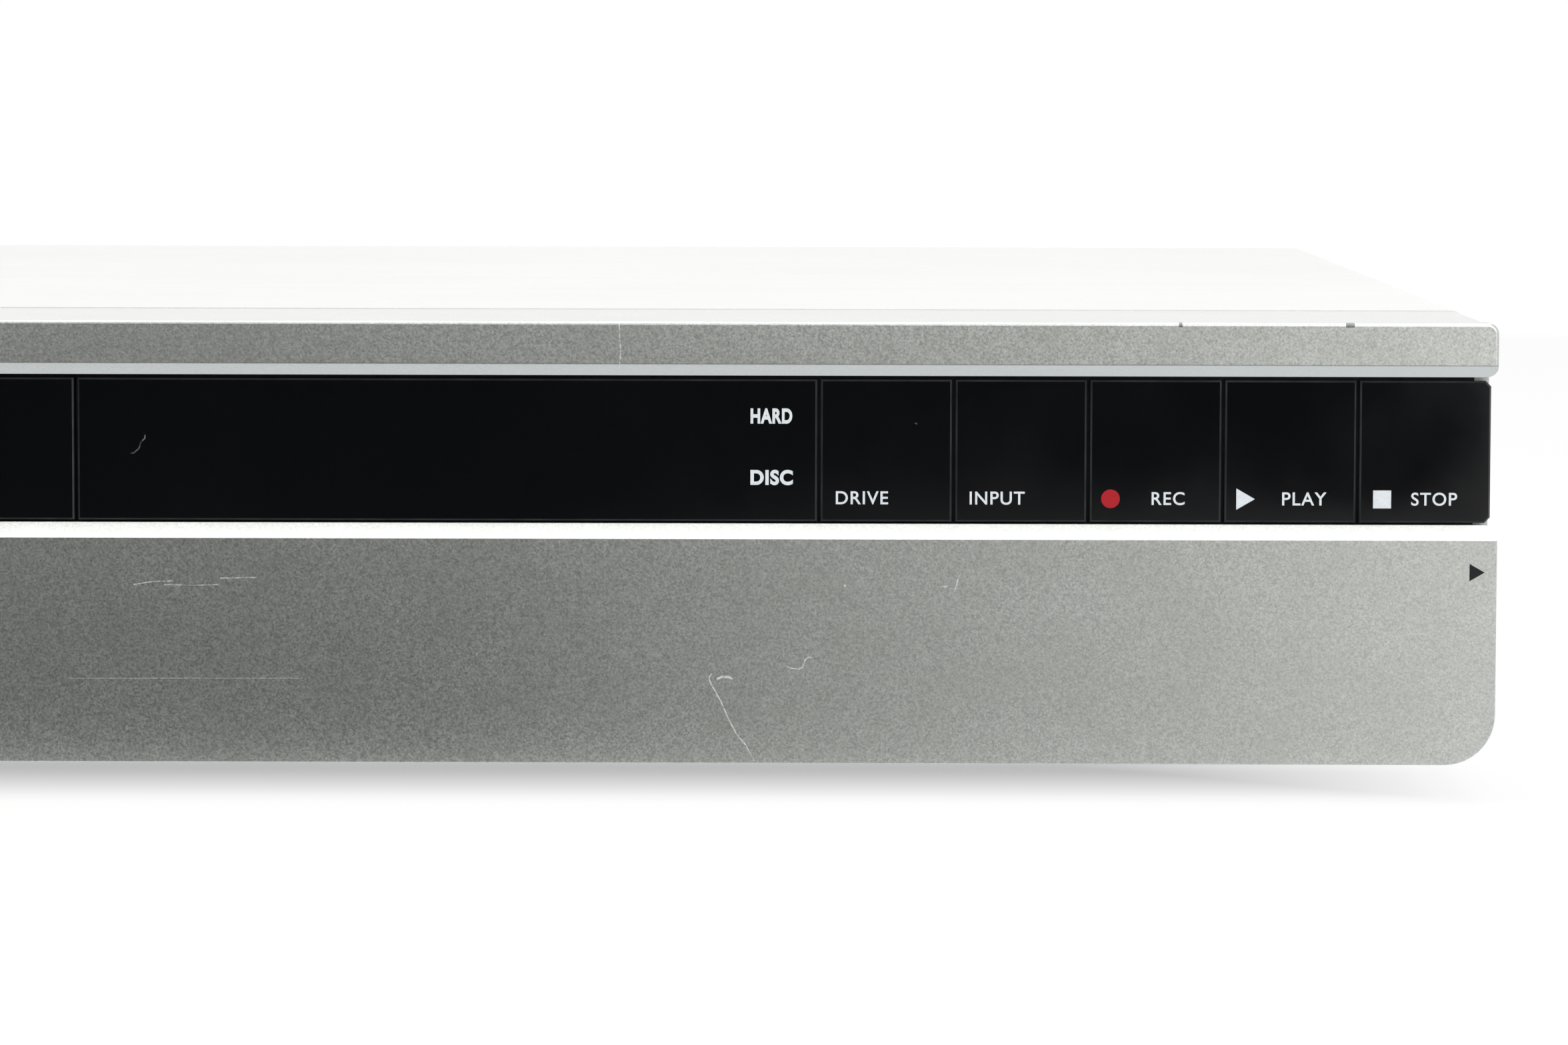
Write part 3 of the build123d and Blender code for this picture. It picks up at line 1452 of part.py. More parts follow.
def build_all():
    """Makes every node and writes it."""
    os.makedirs("parts", exist_ok=True)
    save("top_cover", top_cover())
    save("chassis_base", chassis_base())
    save("rear_panel", rear_panel())
    save("front_panel", front_panel())
    save("front_carrier", front_carrier())
    save("socket_pocket", socket_pocket())
    save("display_window", band_piece(window_left, keys_left, window_thickness))
    save("remote_window", band_piece(standby_right, eject_left, window_thickness))
    save("tray_bezel", band_piece(tray_left, window_left, window_thickness - tray_bezel_gap))
    for name, low, high in key_places():
        save(name, key(low, high))
    save("front_flap", front_flap())
    save("flap_hinge_pins", *flap_pins())
    save("front_boards", *front_boards())
    save("tact_switches", *tact_switches())
    save("display_tube", display_tube())
    save("remote_receiver", remote_receiver())
    save("front_sockets", *front_sockets())
    save("socket_board", socket_board())
    save("drive_base", drive_base())
    save("drive_lid", drive_lid())
    save("disc_tray", disc_tray())
    save("tray_gear", tray_gear())
    save("pulley_gear", pulley_gear())
    save("motor_pulley", motor_pulley())
    save("drive_belt", drive_belt())
    save("loading_motor", loading_motor())
    save("traverse_frame", traverse_frame())
    save("guide_rods", *guide_rods())
    save("pickup_sled", pickup_sled())
    save("pickup_lens", pickup_lens())
    save("sled_gear", sled_gear())
    save("sled_pinion", sled_pinion())
    save("traverse_motors", sled_motor(), spindle_motor())
    save("turntable", turntable())
    save("clamper", clamper())
    save("hard_disk", hard_disk_body(), hard_disk_cover())
    save("hard_disk_bracket", hard_disk_bracket())
    save("main_board", board_on_stands(main_board_x, main_board_y))
    save("power_board", board_on_stands(power_board_x, power_board_y))
    save("main_chips", *main_chips())
    save("heat_sink", heat_sink())
    save("tuner_can", tuner_can())
    save("aerial_sockets", *aerial_sockets())
    save("scart_sockets", *scart_sockets())
    save("rear_av_sockets", rear_av_sockets(), digital_socket())
    save("transformer", transformer())
    save("capacitors", *capacitors())
    save("mains_inlet", mains_inlet())
    save("fan_frame", fan_frame())
    save("fan_rotor", fan_rotor())
    save("ribbon_cables", *ribbon_cables())
    save("feet", *feet())
    save("foot_pads", *foot_pads())
    save("screws", *case_screws(), *board_screws())


build_all()
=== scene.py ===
"""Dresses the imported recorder: paint, ink, sockets, drive and boards, with a plain studio round it."""

import json
import math

import bpy
from mathutils import Matrix, Quaternion, Vector

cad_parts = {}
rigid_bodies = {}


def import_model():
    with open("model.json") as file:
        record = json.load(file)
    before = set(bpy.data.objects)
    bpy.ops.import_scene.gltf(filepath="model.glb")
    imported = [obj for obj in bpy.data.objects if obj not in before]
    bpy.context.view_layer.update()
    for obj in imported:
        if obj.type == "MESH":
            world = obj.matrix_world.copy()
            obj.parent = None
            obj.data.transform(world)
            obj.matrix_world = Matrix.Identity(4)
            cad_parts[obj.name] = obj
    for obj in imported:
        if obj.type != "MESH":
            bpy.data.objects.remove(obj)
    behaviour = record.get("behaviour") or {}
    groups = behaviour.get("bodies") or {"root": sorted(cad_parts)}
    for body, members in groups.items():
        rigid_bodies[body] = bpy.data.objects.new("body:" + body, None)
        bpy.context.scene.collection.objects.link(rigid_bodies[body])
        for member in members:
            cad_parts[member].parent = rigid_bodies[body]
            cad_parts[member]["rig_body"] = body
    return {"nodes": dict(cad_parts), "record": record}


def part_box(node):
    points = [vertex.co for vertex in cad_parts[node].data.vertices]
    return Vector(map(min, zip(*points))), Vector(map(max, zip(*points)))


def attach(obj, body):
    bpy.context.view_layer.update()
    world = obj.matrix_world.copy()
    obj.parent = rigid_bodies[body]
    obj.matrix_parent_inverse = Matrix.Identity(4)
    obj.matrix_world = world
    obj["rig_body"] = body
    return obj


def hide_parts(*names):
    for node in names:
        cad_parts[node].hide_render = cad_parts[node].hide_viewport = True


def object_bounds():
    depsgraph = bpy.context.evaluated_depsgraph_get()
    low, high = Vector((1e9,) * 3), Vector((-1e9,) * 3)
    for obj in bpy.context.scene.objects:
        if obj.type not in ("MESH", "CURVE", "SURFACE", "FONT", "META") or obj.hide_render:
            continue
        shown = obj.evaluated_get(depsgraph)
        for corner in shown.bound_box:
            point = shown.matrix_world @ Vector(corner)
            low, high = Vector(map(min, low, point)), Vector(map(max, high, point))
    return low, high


bl_info = {
    "name": "Disc recorder dressing",
    "version": (1, 0, 0),
    "blender": (4, 5, 0),
    "location": "3D View > Sidebar > Recorder",
    "description": "Paints and details a disc and hard disk recorder round its packed frame",
    "category": "Object",
}

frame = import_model()
CAD_LOW, CAD_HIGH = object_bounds()
NODES = frame["nodes"]
SLOTS = {row["node"]: row["material_slot"] for row in frame["record"]["subparts"]}
FRONT_Y = CAD_LOW.y
MM = 0.001
ORIGIN = Vector((0, 0, 0))
QUARTER = math.pi / 2
CIRCLE = 2 * math.pi
WHITE = (1, 1, 1, 1)

# Meshes: the edges that count as sharp, and how near two points count as one
SMOOTH_ANGLE = math.radians(32)
EDGE_ANGLE = math.radians(30)
SKIN_ANGLE = math.radians(40)
FLAT_ANGLE = math.radians(0.5)
WELD = 1e-6
BEVEL_STEPS = 2
TURNS = {
    "Z": Matrix.Identity(4),
    "Y": Matrix.Rotation(QUARTER, 4, "X"),
    "-Y": Matrix.Rotation(-QUARTER, 4, "X"),
}

# CAD pieces that get a smooth skin, by the rounding of their edges in metres
SKINS = {
    0.0: (
        "front_panel", "front_flap", "display_window", "remote_window", "tray_bezel", "standby_key",
        "eject_key", "drive_key", "input_key", "record_key", "play_key", "stop_key", "feet",
        "aerial_sockets", "front_sockets", "rear_av_sockets", "capacitors", "guide_rods", "tray_gear",
        "pulley_gear", "motor_pulley", "sled_gear", "sled_pinion", "pickup_lens", "flap_hinge_pins",
        "drive_belt", "screws", "ribbon_cables", "remote_receiver",
    ),
    0.0001: (
        "turntable", "clamper", "foot_pads", "pickup_sled", "hard_disk", "fan_rotor", "traverse_frame",
        "drive_lid", "scart_sockets",
    ),
    0.00012: ("top_cover",),
    0.0002: ("disc_tray", "fan_frame", "mains_inlet"),
    0.0003: ("loading_motor", "traverse_motors"),
}
SMOOTH_NODES = {node: edge for edge, nodes in SKINS.items() for node in nodes}
OWN_FINISH = {"ribbon_cables": "ribbon"}
# Slants of the black acrylic's chamfers, which get a painted highlight
CHAMFER_SLANTS = (-0.95, -0.2)

# Moulded plastics: colour from 0 to 255, roughness, size of the grain in metres and its depth
EVEN_MOULDING = (0.4, 0.0004, 0.1)
PLASTICS = {
    "black_plastic": ((34, 34, 36), 0.46, 0.0005, 0.25),
    "grey_plastic": ((150, 152, 154), 0.5, 0.0005, 0.25),
    "white_plastic": ((232, 231, 224), 0.4, 0.0004, 0.12),
    "rubber": ((38, 38, 38), 0.8, 0.0007, 0.4),
    "yellow_plastic": ((232, 190, 30), *EVEN_MOULDING),
    "red_plastic": ((186, 32, 32), *EVEN_MOULDING),
    "pale_plastic": ((226, 226, 220), *EVEN_MOULDING),
    "blue_plastic": ((34, 72, 168), *EVEN_MOULDING),
    "green_plastic": ((30, 130, 66), *EVEN_MOULDING),
    "dark_sleeve": ((34, 40, 58), 0.35, 0.0004, 0.1),
}

# Bare metals: colour, roughness, lengths of the grain along X, Y and Z in metres and its depth
FINE_GRAIN = (0.001, 0.001, 0.001)
METALS = {
    "nickel": ((214, 211, 202), 0.2, (0.004, 0.0004, 0.004), 0.08),
    "steel_rod": ((206, 208, 210), 0.24, (0.02, 0.0003, 0.0003), 0.08),
    "cast_aluminium": ((198, 200, 202), 0.42, (0.0006, 0.0006, 0.0006), 0.3),
    "copper": ((196, 120, 74), 0.28, FINE_GRAIN, 0.08),
    "gold": ((216, 178, 92), 0.22, FINE_GRAIN, 0.08),
    "tin": ((205, 206, 205), 0.3, FINE_GRAIN, 0.08),
}
GLASSES = {"tube_glass": (70, 92, 92), "lens_glass": (150, 160, 220)}
INKS = {"white_ink": (226, 232, 236), "red_ink": (176, 24, 34), "dark_ink": (26, 27, 29)}

# Wear of the front: each trace is a width and its points across and up, in millimetres
FLAP_MARKS = (
    (0.12, (
        (107.9, 17.4), (107.5, 16.8), (107.7, 16.1), (109.1, 13.6), (110.3, 10.9), (111.3, 9.0), (112.5, 7.6),
    )),
    (0.07, ((112.5, 7.6), (113.7, 5.4))),
    (0.22, ((108.7, 16.7), (109.3, 16.9), (110.2, 16.9), (110.6, 16.7))),
    (0.10, (
        (118.2, 18.4), (118.8, 18.1), (119.8, 18.0), (120.3, 18.3), (120.6, 19.2), (121.0, 19.6),
        (121.5, 19.6),
    )),
    (0.10, ((29.0, 29.4), (31.4, 29.8), (34.3, 29.9))),
    (0.10, ((40.8, 30.3), (45.7, 30.4))),
    (0.08, ((33.1, 29.4), (37.0, 29.3), (40.4, 29.4))),
    (0.04, ((20.0, 16.5), (52.0, 16.6))),
    (0.17, ((126.0, 29.4), (126.1, 29.5))),
    (0.17, ((139.6, 29.4), (139.9, 29.4))),
    (0.12, ((141.5, 30.4), (141.1, 29.0))),
    (0.09, ((95.2, 58.5), (95.4, 61.5), (95.2, 65.2))),
)
WINDOW_MARKS = (
    (0.12, ((30.4, 49.7), (30.4, 49.3), (29.8, 48.7), (29.6, 47.9), (28.9, 47.3), (28.5, 47.2))),
    (0.10, ((133.9, 58.0), (134.0, 57.6))),
    (0.09, ((135.6, 51.6), (135.8, 51.5))),
    (0.09, ((177.9, 53.2), (177.7, 52.6))),
)

# Places on the cover, strip, flap and band where the colour changes, in metres: painted shade in the pressed
# lines and the strip's crease, a painted reflection on its lower edge, and chipped paint
PRESSED_LINES = (-0.047, -0.026, -0.005)
PRESSED_WIDTH = 0.0006
FACE_SKIN = 0.0005
BAND_DEPTH = 0.0023
CREASE_Z = 0.0597
CREASE_WIDTH = 0.00011
LOWER_EDGE = 0.0016
EDGE_CHIPS = ((0.1947, 0.0006), (0.1716, 0.00025))
CHIP_BOTTOM = 0.0649
CHIP_DEPTH = 0.0012

# Patterns of the boards, the flat cables and the transformer, in metres
TRACK_FIELD = 0.011
TRACK_PITCH = 0.00085
TRACK_HALF = (0.00016, 0.00022)
PAD_SPACING = 0.0042
WIRE_PITCH = 0.00127
TRANSFORMER_WAIST = 0.024
TAPE_GAP = 0.0001

# Words on the keys: key, word and left end in millimetres
KEY_WORDS = (
    ("drive", "DRIVE", 124.77),
    ("input", "INPUT", 143.06),
    ("record", "REC", 167.93),
    ("play", "PLAY", 185.77),
    ("stop", "STOP", 203.41),
)

# Symbols on the keys: key, name, corners, radius against the dot's, middle in mm, quarter turns, finish
KEY_SYMBOLS = (
    ("record", "record_dot", 40, 1.0, 162.31, 0.0, "red_ink"),
    ("play", "play_triangle", 3, 1.32, 180.35, -1.0, "white_ink"),
    ("stop", "stop_square", 4, 1.36, 199.43, 0.5, "white_ink"),
)

# Words in the window: name, word, base line and width in millimetres
WINDOW_WORDS = (("upper", "HARD", 51.48, 5.7), ("lower", "DISC", 43.06, 5.8))
WINDOW_WORDS_LEFT = 0.1131
LETTER_SPACING = 1.1
KEY_WEIGHT = 0.00002
NUMBER_WEIGHT = 0.00003
WINDOW_WEIGHT = 0.00009
FLAP_TRIANGLE = (0.21195, 0.03147)
FLAP_TRIANGLE_RADIUS = 0.00138

# The left keys' symbols, as shares of the symbol's radius
STANDBY_LINE = 0.26
STANDBY_GAP = math.radians(70)
STANDBY_BAR = (0.15, 1.25)
EJECT_TRIANGLE = 1.2
EJECT_RISE = 0.25
EJECT_BAR = (1.04, -1.0, -0.6)

# Numbers on the rear: height against the keys' words, heights as shares of the wide sockets', gaps in metres
NUMBER_HEIGHT = 1.2
WIDE_NUMBER_RISES = (0.28, 0.75)
WIDE_NUMBER_GAP = 0.0022
PHONO_NUMBER_GAP = 0.0016

# Phono sockets, in metres across and up, with the finishes of their rings
RING_EDGE = 0.0002
RING_STEPS = 48
FRONT_RING_DEPTH = 0.002
FRONT_COLUMNS = (0.1092, 0.1242, 0.1392, 0.1542)
FRONT_RINGS = ("black_plastic", "yellow_plastic", "pale_plastic", "red_plastic")
PHONO_COLUMNS = (0.065, 0.079, 0.093, 0.107)
REAR_RINGS = {
    0.0206: ("red_plastic", "pale_plastic", "yellow_plastic", "black_plastic"),
    0.0346: ("red_plastic", "blue_plastic", "green_plastic", "yellow_plastic"),
}

# Pieces made of blocks, in millimetres: a finish, two opposite corners and the rounding of the edges
BLOCKS = {
    "blade": (("gold", (-0.25, -0.3, -1.9), (0.25, 0.5, 1.9), 0),),
    "pin": (("gold", (-0.2, -3.4, 0), (0.2, 0, 0.08), 0),),
    "lining": (
        ("black_plastic", (-3.3, -0.3, -1.8), (3.3, 0.1, 1.8), 0),
        ("black_plastic", (-2.5, -2.0, -0.4), (2.5, 0, 0.4), 0.1),
    ),
    "contact": (("gold", (-0.3, -1.9, 0.38), (0.3, 0, 0.46), 0),),
    "leg": (
        ("tin", (-0.14, 0.7, 0.02), (0.14, 1.5, 0.16), 0),
        ("tin", (-0.14, 0.6, 0.02), (0.14, 0.75, 1.2), 0),
        ("tin", (-0.14, -0.05, 1.06), (0.14, 0.75, 1.2), 0),
    ),
    "memory": (("black_plastic", (-9, -5, 0.1), (9, 5, 1.2), 0.1),),
    "memory_leg": (("tin", (-0.15, -0.4, 0), (0.15, 0.4, 0.3), 0),),
    "crystal": (("tin", (-5, -2, 0), (5, 2, 3.4), 1.2),),
    "plug": (("pale_plastic", (-8, -3, 0), (8, 3, 7), 0.3),),
    "resistor": (
        ("black_plastic", (-0.6, -0.6, 0), (0.6, 0.6, 0.5), 0),
        ("tin", (-1.0, -0.62, 0), (-0.6, 0.62, 0.52), 0),
        ("tin", (0.6, -0.62, 0), (1.0, 0.62, 0.52), 0),
    ),
    "filter_box": (
        ("yellow_plastic", (-28, -52, 0), (-14, -26, 18), 0.6),
        ("black_plastic", (20, -20, 0), (25, 5, 16), 0.5),
        ("pale_plastic", (-28, 100, 0), (-12, 107, 10), 0.4),
    ),
    "sink": (("cast_aluminium", (26, -54, 0), (29, -20, 30), 0.3),),
    "sink_fin": (("cast_aluminium", (18, -54, 0), (26, -52.5, 30), 0.3),),
    "switch": (("black_plastic", (29, -42, 0), (33.2, -32, 20), 0.4),),
    "fuse_clip": (("tin", (-3, -1.5, -5), (3, 1.5, -2), 0),),
    "can_groove": (("dark_sleeve", (-0.15, -4, 0), (0.15, 4, 0.05), 0),),
    "cross": (
        ("dark_sleeve", (-1.3, -0.25, 1.35), (1.3, 0.25, 1.52), 0),
        ("dark_sleeve", (-0.25, -1.3, 1.35), (0.25, 1.3, 1.52), 0),
    ),
}

# Round pieces: pairs of radius and height, in metres
CAN_SLEEVE = (
    (0, 0), (0.0025, 0), (0.0025, 0.0008), (0.0023, 0.0012), (0.0025, 0.0016), (0.0025, 0.0066),
    (0.0022, 0.0070),
)
CAN_TOP = ((0.0022, 0.0070), (0.0021, 0.0067), (0, 0.0067))
FUSE_TUBE = ((0, -0.008), (0.0024, -0.008), (0.0024, 0.008), (0, 0.008))
FUSE_CAP = ((0, -0.0025), (0.0028, -0.0025), (0.0028, 0.0025), (0, 0.0025))
SCREW_HEAD = ((0, 0), (0.0028, 0), (0.0028, 0.0006), (0.0020, 0.0013), (0, 0.0015))
CAN_STEPS = 24
SMALL_STEPS = 20
PLATE_STEPS = 40
HUB_STEPS = 48
LID_STEPS = 72

# Contacts: how many, how far apart in millimetres, and where their sockets' floors lie in metres
WIDE_ROWS = (0.0221, 0.0421)
WIDE_CONTACTS = 20
WIDE_PITCH = 2.0
WIDE_REACH = 2.6
WIDE_MOUTH_DEPTH = 0.0090
DIGITAL_PINS = 9
DIGITAL_PITCH = 1.0
DIGITAL_X = 0.132
DIGITAL_Z = 0.0165
DIGITAL_TONGUE_BACK = 0.0085
SMALL_CONTACTS = 4
SMALL_PITCH = 1.1
SMALL_WIDTH = 0.008
SMALL_FLOOR = 0.001

# The main board: places across and back in millimetres, some with quarter turns
CHIP_LEGS = 22
CHIP_LEG_PITCH = 0.95
MEMORY_LEGS = 22
MEMORY_LEG_PITCH = 0.8
MEMORY_LEG_REACH = 5.3
CAN_PLACES = (
    (-60, 70), (-60, 78), (-60, 86), (-50, 70), (-40, 74), (-30, 70), (-20, 74), (-20, 84), (-8, 70),
    (150, 66), (158, 66), (166, 66), (174, 66), (192, 74), (192, 82), (192, 90), (192, 98), (183, 128),
    (192, 128),
)
MEMORY_PLACES = ((150, 84, 0), (150, 100, 0), (175, 92, 1), (87, 70, 1))
CRYSTAL_PLACES = ((35, 68), (135, 112), (176, 114))
PLUG_PLACES = ((196, 112, 1), (-62, 100, 1), (160, 126, 0))

# Fields of resistors: first place, how many across and how many back, with their pitches
RESISTOR_FIELDS = (
    (-48, 84, 5, 3), (22, 104, 6, 1), (70, 66, 2, 5), (100, 64, 6, 2), (138, 74, 7, 1), (128, 92, 2, 5),
    (160, 106, 4, 4), (84, 106, 6, 1), (-4, 104, 3, 1), (34, 74, 4, 1),
)
RESISTOR_PITCHES = (3.2, 2.4)

# The power board, in millimetres from its middle and in degrees
POWER_CANS = ((-26, 20), (-26, 30), (26, 20), (26, 30), (26, 40), (-26, 46), (26, 60), (26, 70))
CHOKE_PLACE = (2, -38, 4.9)
CHOKE_RADII = (8, 3.4)
CHOKE_STEPS = (40, 16)
CHOKE_TALL = 1.25
WINDING_RADII = (3.9, 0.4)
WINDING_STEPS = (24, 8)
WINDING_TALL = 1.2
WINDING_SIDES = (-55, 125)
WINDING_TURNS = 13
WINDING_PITCH = 9
SINK_FINS = 7
SINK_FIN_PITCH = 5.4
FUSE_PLACE = (-21, -14, 5)
FUSE_ENDS = (-6.5, 6.5)

# The large capacitors' tops and stripes, in metres
CAN_PLATE_SHARE = 0.8
CAN_PLATE_DEPTH = 0.00015
CAN_PLATE_EDGE = 0.00005
STRIPE_SKIN = (0.0002, 0.0001)
STRIPE_HALF = 0.0016
STRIPE_ENDS = (0.002, 0.003)

# The drives' covers, in metres: inner and outer radius, depth and edge of their rings, and the screws' insets
LID_RING = (0.024, 0.034, 0.0005, 0.0005)
LID_INSET = (0.008, 0.008)
DISK_RING = (0.026, 0.028, 0.0003, 0.00015)
DISK_HUB = (0.0, 0.009, 0.0004, 0.0002)
DISK_HUB_SHARE = 0.38
DISK_INSET = (0.006, 0.008)
FIRST_SCREW_TURN = 25
NEXT_SCREW_TURN = 40

# The floor: how far it goes, and how white it shows under and beside the recorder, where a weaker glow under
# it paints part of its shadow
FLOOR_SIZE = 40
FLOOR_CUTS = 3
FLOOR_DROP = 0.0002
PAPER_WHITE = (250, 250, 250)
BACKGROUND_LEVEL = 1.03
GLOW_UNDER = 0.38
GLOW_BESIDE = 0.86
UNDER_START = 0.74
UNDER_END = 0.97
FLOOR_NEAR = 0.7
FLOOR_FAR = 1.3

# The folded card that the front mirrors, in metres
FLAG_LEFT = -1.6
FLAG_RIGHT = 0.6
FLAG_TOP = 0.1
FLAG_FAR = -0.62
FLAG_NEAR = -0.172
FLAG_LIFT = 0.0003
FADE_START = 0.068
FADE_END = 0.262
UPRIGHT_END = 0.27
UPRIGHT_SHADE = 0.3
FLAG_DARK = (0.06, 0.064, 0.058, 1)

# Lamps with their sides, place and aim in metres, and the camera's sensor and range
TOP_LAMP = ((1.4, 1.0), (0.1, 0.0, 1.4), (0, 0, 0))
SIDE_LAMP = ((0.3, 0.6), (0.52, -0.95, 0.5), (0.1, 0, 0.03))
SENSOR_WIDTH = 36.0
CLIP_RANGE = (0.01, 50.0)


# Small helpers for places and selections

def mm(*values):
    """Millimetres as a vector in metres."""
    return Vector([value * MM for value in values])


def middle(node):
    """The middle of a CAD node's box."""
    low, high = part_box(node)
    return (low + high) / 2


def face_of(node):
    """The front face's place along Y."""
    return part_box(node)[0].y


def spaced(count, pitch):
    """The places of a row about its own middle."""
    return [(i - (count - 1) / 2) * pitch for i in range(count)]


def linear(red, green, blue):
    """A screen colour from 0 to 255 as the linear colour a shader takes."""
    parts = [value / 255 for value in (red, green, blue)]
    bent = [part / 12.92 if part <= 0.04045 else ((part + 0.055) / 1.055) ** 2.4 for part in parts]
    return (*bent, 1.0)


def shade(colour, factor):
    """A colour made lighter or darker."""
    return (*[min(1.0, part * factor) for part in colour[:3]], 1.0)


def deselect():
    """Leaves edit mode and selects nothing."""
    active = bpy.context.view_layer.objects.active
    if active and active.mode != "OBJECT":
        bpy.ops.object.mode_set(mode="OBJECT")
    bpy.ops.object.select_all(action="DESELECT")


def pick(*objects):
    """Selects these objects alone and makes the first one active."""
    deselect()
    for made in objects:
        made.select_set(True)
    bpy.context.view_layer.objects.active = objects[0]
    return objects[0]


def apply_place(made):
    """Moves an object's place into its mesh."""
    pick(made)
    bpy.ops.object.transform_apply(location=True, rotation=True, scale=True)
    return made


def spun(offset, turn):
    """A place with a turn about the vertical."""
    return Matrix.Translation(offset) @ Matrix.Rotation(turn, 4, "Z")


def placed(made, offset, turn=0.0):
    """Turns a piece about the vertical and moves it by an offset, in its mesh."""
    made.matrix_world = spun(offset, turn)
    return apply_place(made)


def stood_up(made, place, turn=0.0):
    """Stands a flat piece upright at a place, turned about the vertical, in its mesh."""
    made.matrix_world = spun(place, turn) @ TURNS["Y"]
    return apply_place(made)


def apply_modifiers(made):
    """Applies all of an object's modifiers."""
    pick(made)
    for modifier in list(made.modifiers):
        bpy.ops.object.modifier_apply(modifier=modifier.name)
    return made


def smooth(made):
    """Smooth shading that keeps the sharp edges."""
    pick(made)
    bpy.ops.object.shade_smooth_by_angle(angle=SMOOTH_ANGLE)
    modifier = made.modifiers.new("shading", "WEIGHTED_NORMAL")
    modifier.keep_sharp = True
    return apply_modifiers(made)


def bevel(made, width, angle=EDGE_ANGLE):
    """Rounds an object's sharp edges."""
    modifier = made.modifiers.new("edge", "BEVEL")
    modifier.width = width
    modifier.segments = BEVEL_STEPS
    modifier.limit_method = "ANGLE"
    modifier.angle_limit = angle
    return apply_modifiers(made)


def join(name, pieces):
    """Joins pieces into one object."""
    pick(*pieces)
    if len(pieces) > 1:
        bpy.ops.object.join()
    pieces[0].name = name
    pieces[0].data.name = name
    return pieces[0]


def painted(made, finish):
    """Gives a piece its material."""
    made.data.materials.clear()
    made.data.materials.append(MATERIALS[finish])
    return made


def dress(made, body, finish):
    """Gives a finished piece its material and its body."""
    painted(made, finish)
    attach(made, body)
    return made


def assembled(name, parts, body="case"):
    """Joins painted parts into one piece that rides on a body."""
    made = join(name, parts)
    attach(made, body)
    return made


def copied(made, name, offset, turn=0.0):
    """A copy of a piece with its own mesh, turned about the vertical and moved by an offset."""
    twin = made.copy()
    twin.data = made.data.copy()
    twin.name = name
    bpy.context.scene.collection.objects.link(twin)
    return placed(twin, offset, turn)


def scattered(pattern, offsets, turns=None):
    """Copies of a pattern at these offsets, each with its turn, which replace the pattern itself."""
    places = zip(offsets, turns or [0.0] * len(offsets))
    copies = [copied(pattern, pattern.name, offset, turn) for offset, turn in places]
    bpy.data.objects.remove(pattern)
    return copies


# Pieces made as by hand

def start(name, add, **settings):
    """Adds a primitive under a name, alone and selected, and opens it in edit mode."""
    deselect()
    add(**settings)
    made = bpy.context.view_layer.objects.active
    made.name = name
    made.data.name = name
    bpy.ops.object.mode_set(mode="EDIT")
    bpy.ops.mesh.select_all(action="SELECT")
    return made


def choose(made, test):
    """Selects only the points of an open piece that pass a test, by their place."""
    bpy.ops.mesh.select_mode(type="VERT")
    bpy.ops.mesh.select_all(action="DESELECT")
    bpy.ops.object.mode_set(mode="OBJECT")
    for point in made.data.vertices:
        point.select = test(made.matrix_world @ point.co)
    bpy.ops.object.mode_set(mode="EDIT")


def extrude(*run):
    """Extrudes what is selected along a run."""
    bpy.ops.mesh.extrude_region_move(TRANSFORM_OT_translate={"value": run})


def close(made):
    """Merges doubles, turns the faces outwards and leaves edit mode."""
    bpy.ops.mesh.select_all(action="SELECT")
    bpy.ops.mesh.remove_doubles(threshold=WELD)
    bpy.ops.mesh.normals_make_consistent(inside=False)
    bpy.ops.object.mode_set(mode="OBJECT")
    return apply_place(made)


def slab(name, low, high, edge=0.0):
    """A block between two corners, extruded from its lower face, with rounded edges."""
    size = high - low
    centre = Vector(((low.x + high.x) / 2, (low.y + high.y) / 2, low.z))
    made = start(name, bpy.ops.mesh.primitive_plane_add, size=1, location=centre)
    bpy.ops.transform.resize(value=(size.x, size.y, 1))
    extrude(0, 0, size.z)
    close(made)
    if edge:
        bevel(made, edge)
    return made


def blocks(name, origin=ORIGIN):
    """The painted blocks of a named piece, joined into one part."""
    parts = [painted(slab(name, origin + mm(*low), origin + mm(*high), edge * MM), finish)
             for finish, low, high, edge in BLOCKS[name]]
    return join(name, parts)


def turned(name, profile, centre=ORIGIN, axis="Z", steps=PLATE_STEPS):
    """A shape spun round an axis through a centre from a profile of radius and height pairs."""
    first = (profile[0][0], 0, profile[0][1])
    made = start(name, bpy.ops.mesh.primitive_plane_add, size=1, location=first)
    bpy.ops.mesh.merge(type="CENTER")
    for (radius, height), (next_radius, next_height) in zip(profile, profile[1:]):
        extrude(next_radius - radius, 0, next_height - height)
    bpy.ops.mesh.select_all(action="SELECT")
    bpy.ops.mesh.spin(steps=steps, angle=CIRCLE, center=(0, 0, 0), axis=(0, 0, 1))
    close(made)
    made.matrix_world = Matrix.Translation(centre) @ TURNS[axis]
    return smooth(apply_place(made))


def ring(name, inner, outer, depth, edge, centre=ORIGIN, axis="Z", steps=PLATE_STEPS):
    """A flat ring with rounded rims that rises from its centre along an axis."""
    profile = [
        (inner, 0), (outer, 0), (outer, depth - edge), (outer - edge, depth),
        (inner + edge, depth), (inner, depth - edge), (inner, 0),
    ]
    return turned(name, profile, centre, axis, steps)


def lettering(name, words, height, place, thickness, weight, width=None, turn=0.0):
    """Raised ink words on an upright face, from the left end of their base line, in metres."""
    deselect()
    bpy.ops.object.text_add()
    made = bpy.context.view_layer.objects.active
    made.name = name
    made.data.body = words
    made.data.size = height
    made.data.offset = weight
    made.data.space_character = LETTER_SPACING
    made.data.extrude = thickness
    bpy.ops.object.convert(target="MESH")
    made = bpy.context.view_layer.objects.active
    xs = [v.co.x for v in made.data.vertices]
    ys = [v.co.y for v in made.data.vertices]
    tall = height / (max(ys) - min(ys))
    wide = tall if width is None else width / (max(xs) - min(xs))
    made.scale = (wide, tall, 1)
    made.location = (-min(xs) * wide, -min(ys) * tall, 0)
    apply_place(made)
    return stood_up(made, place, turn)


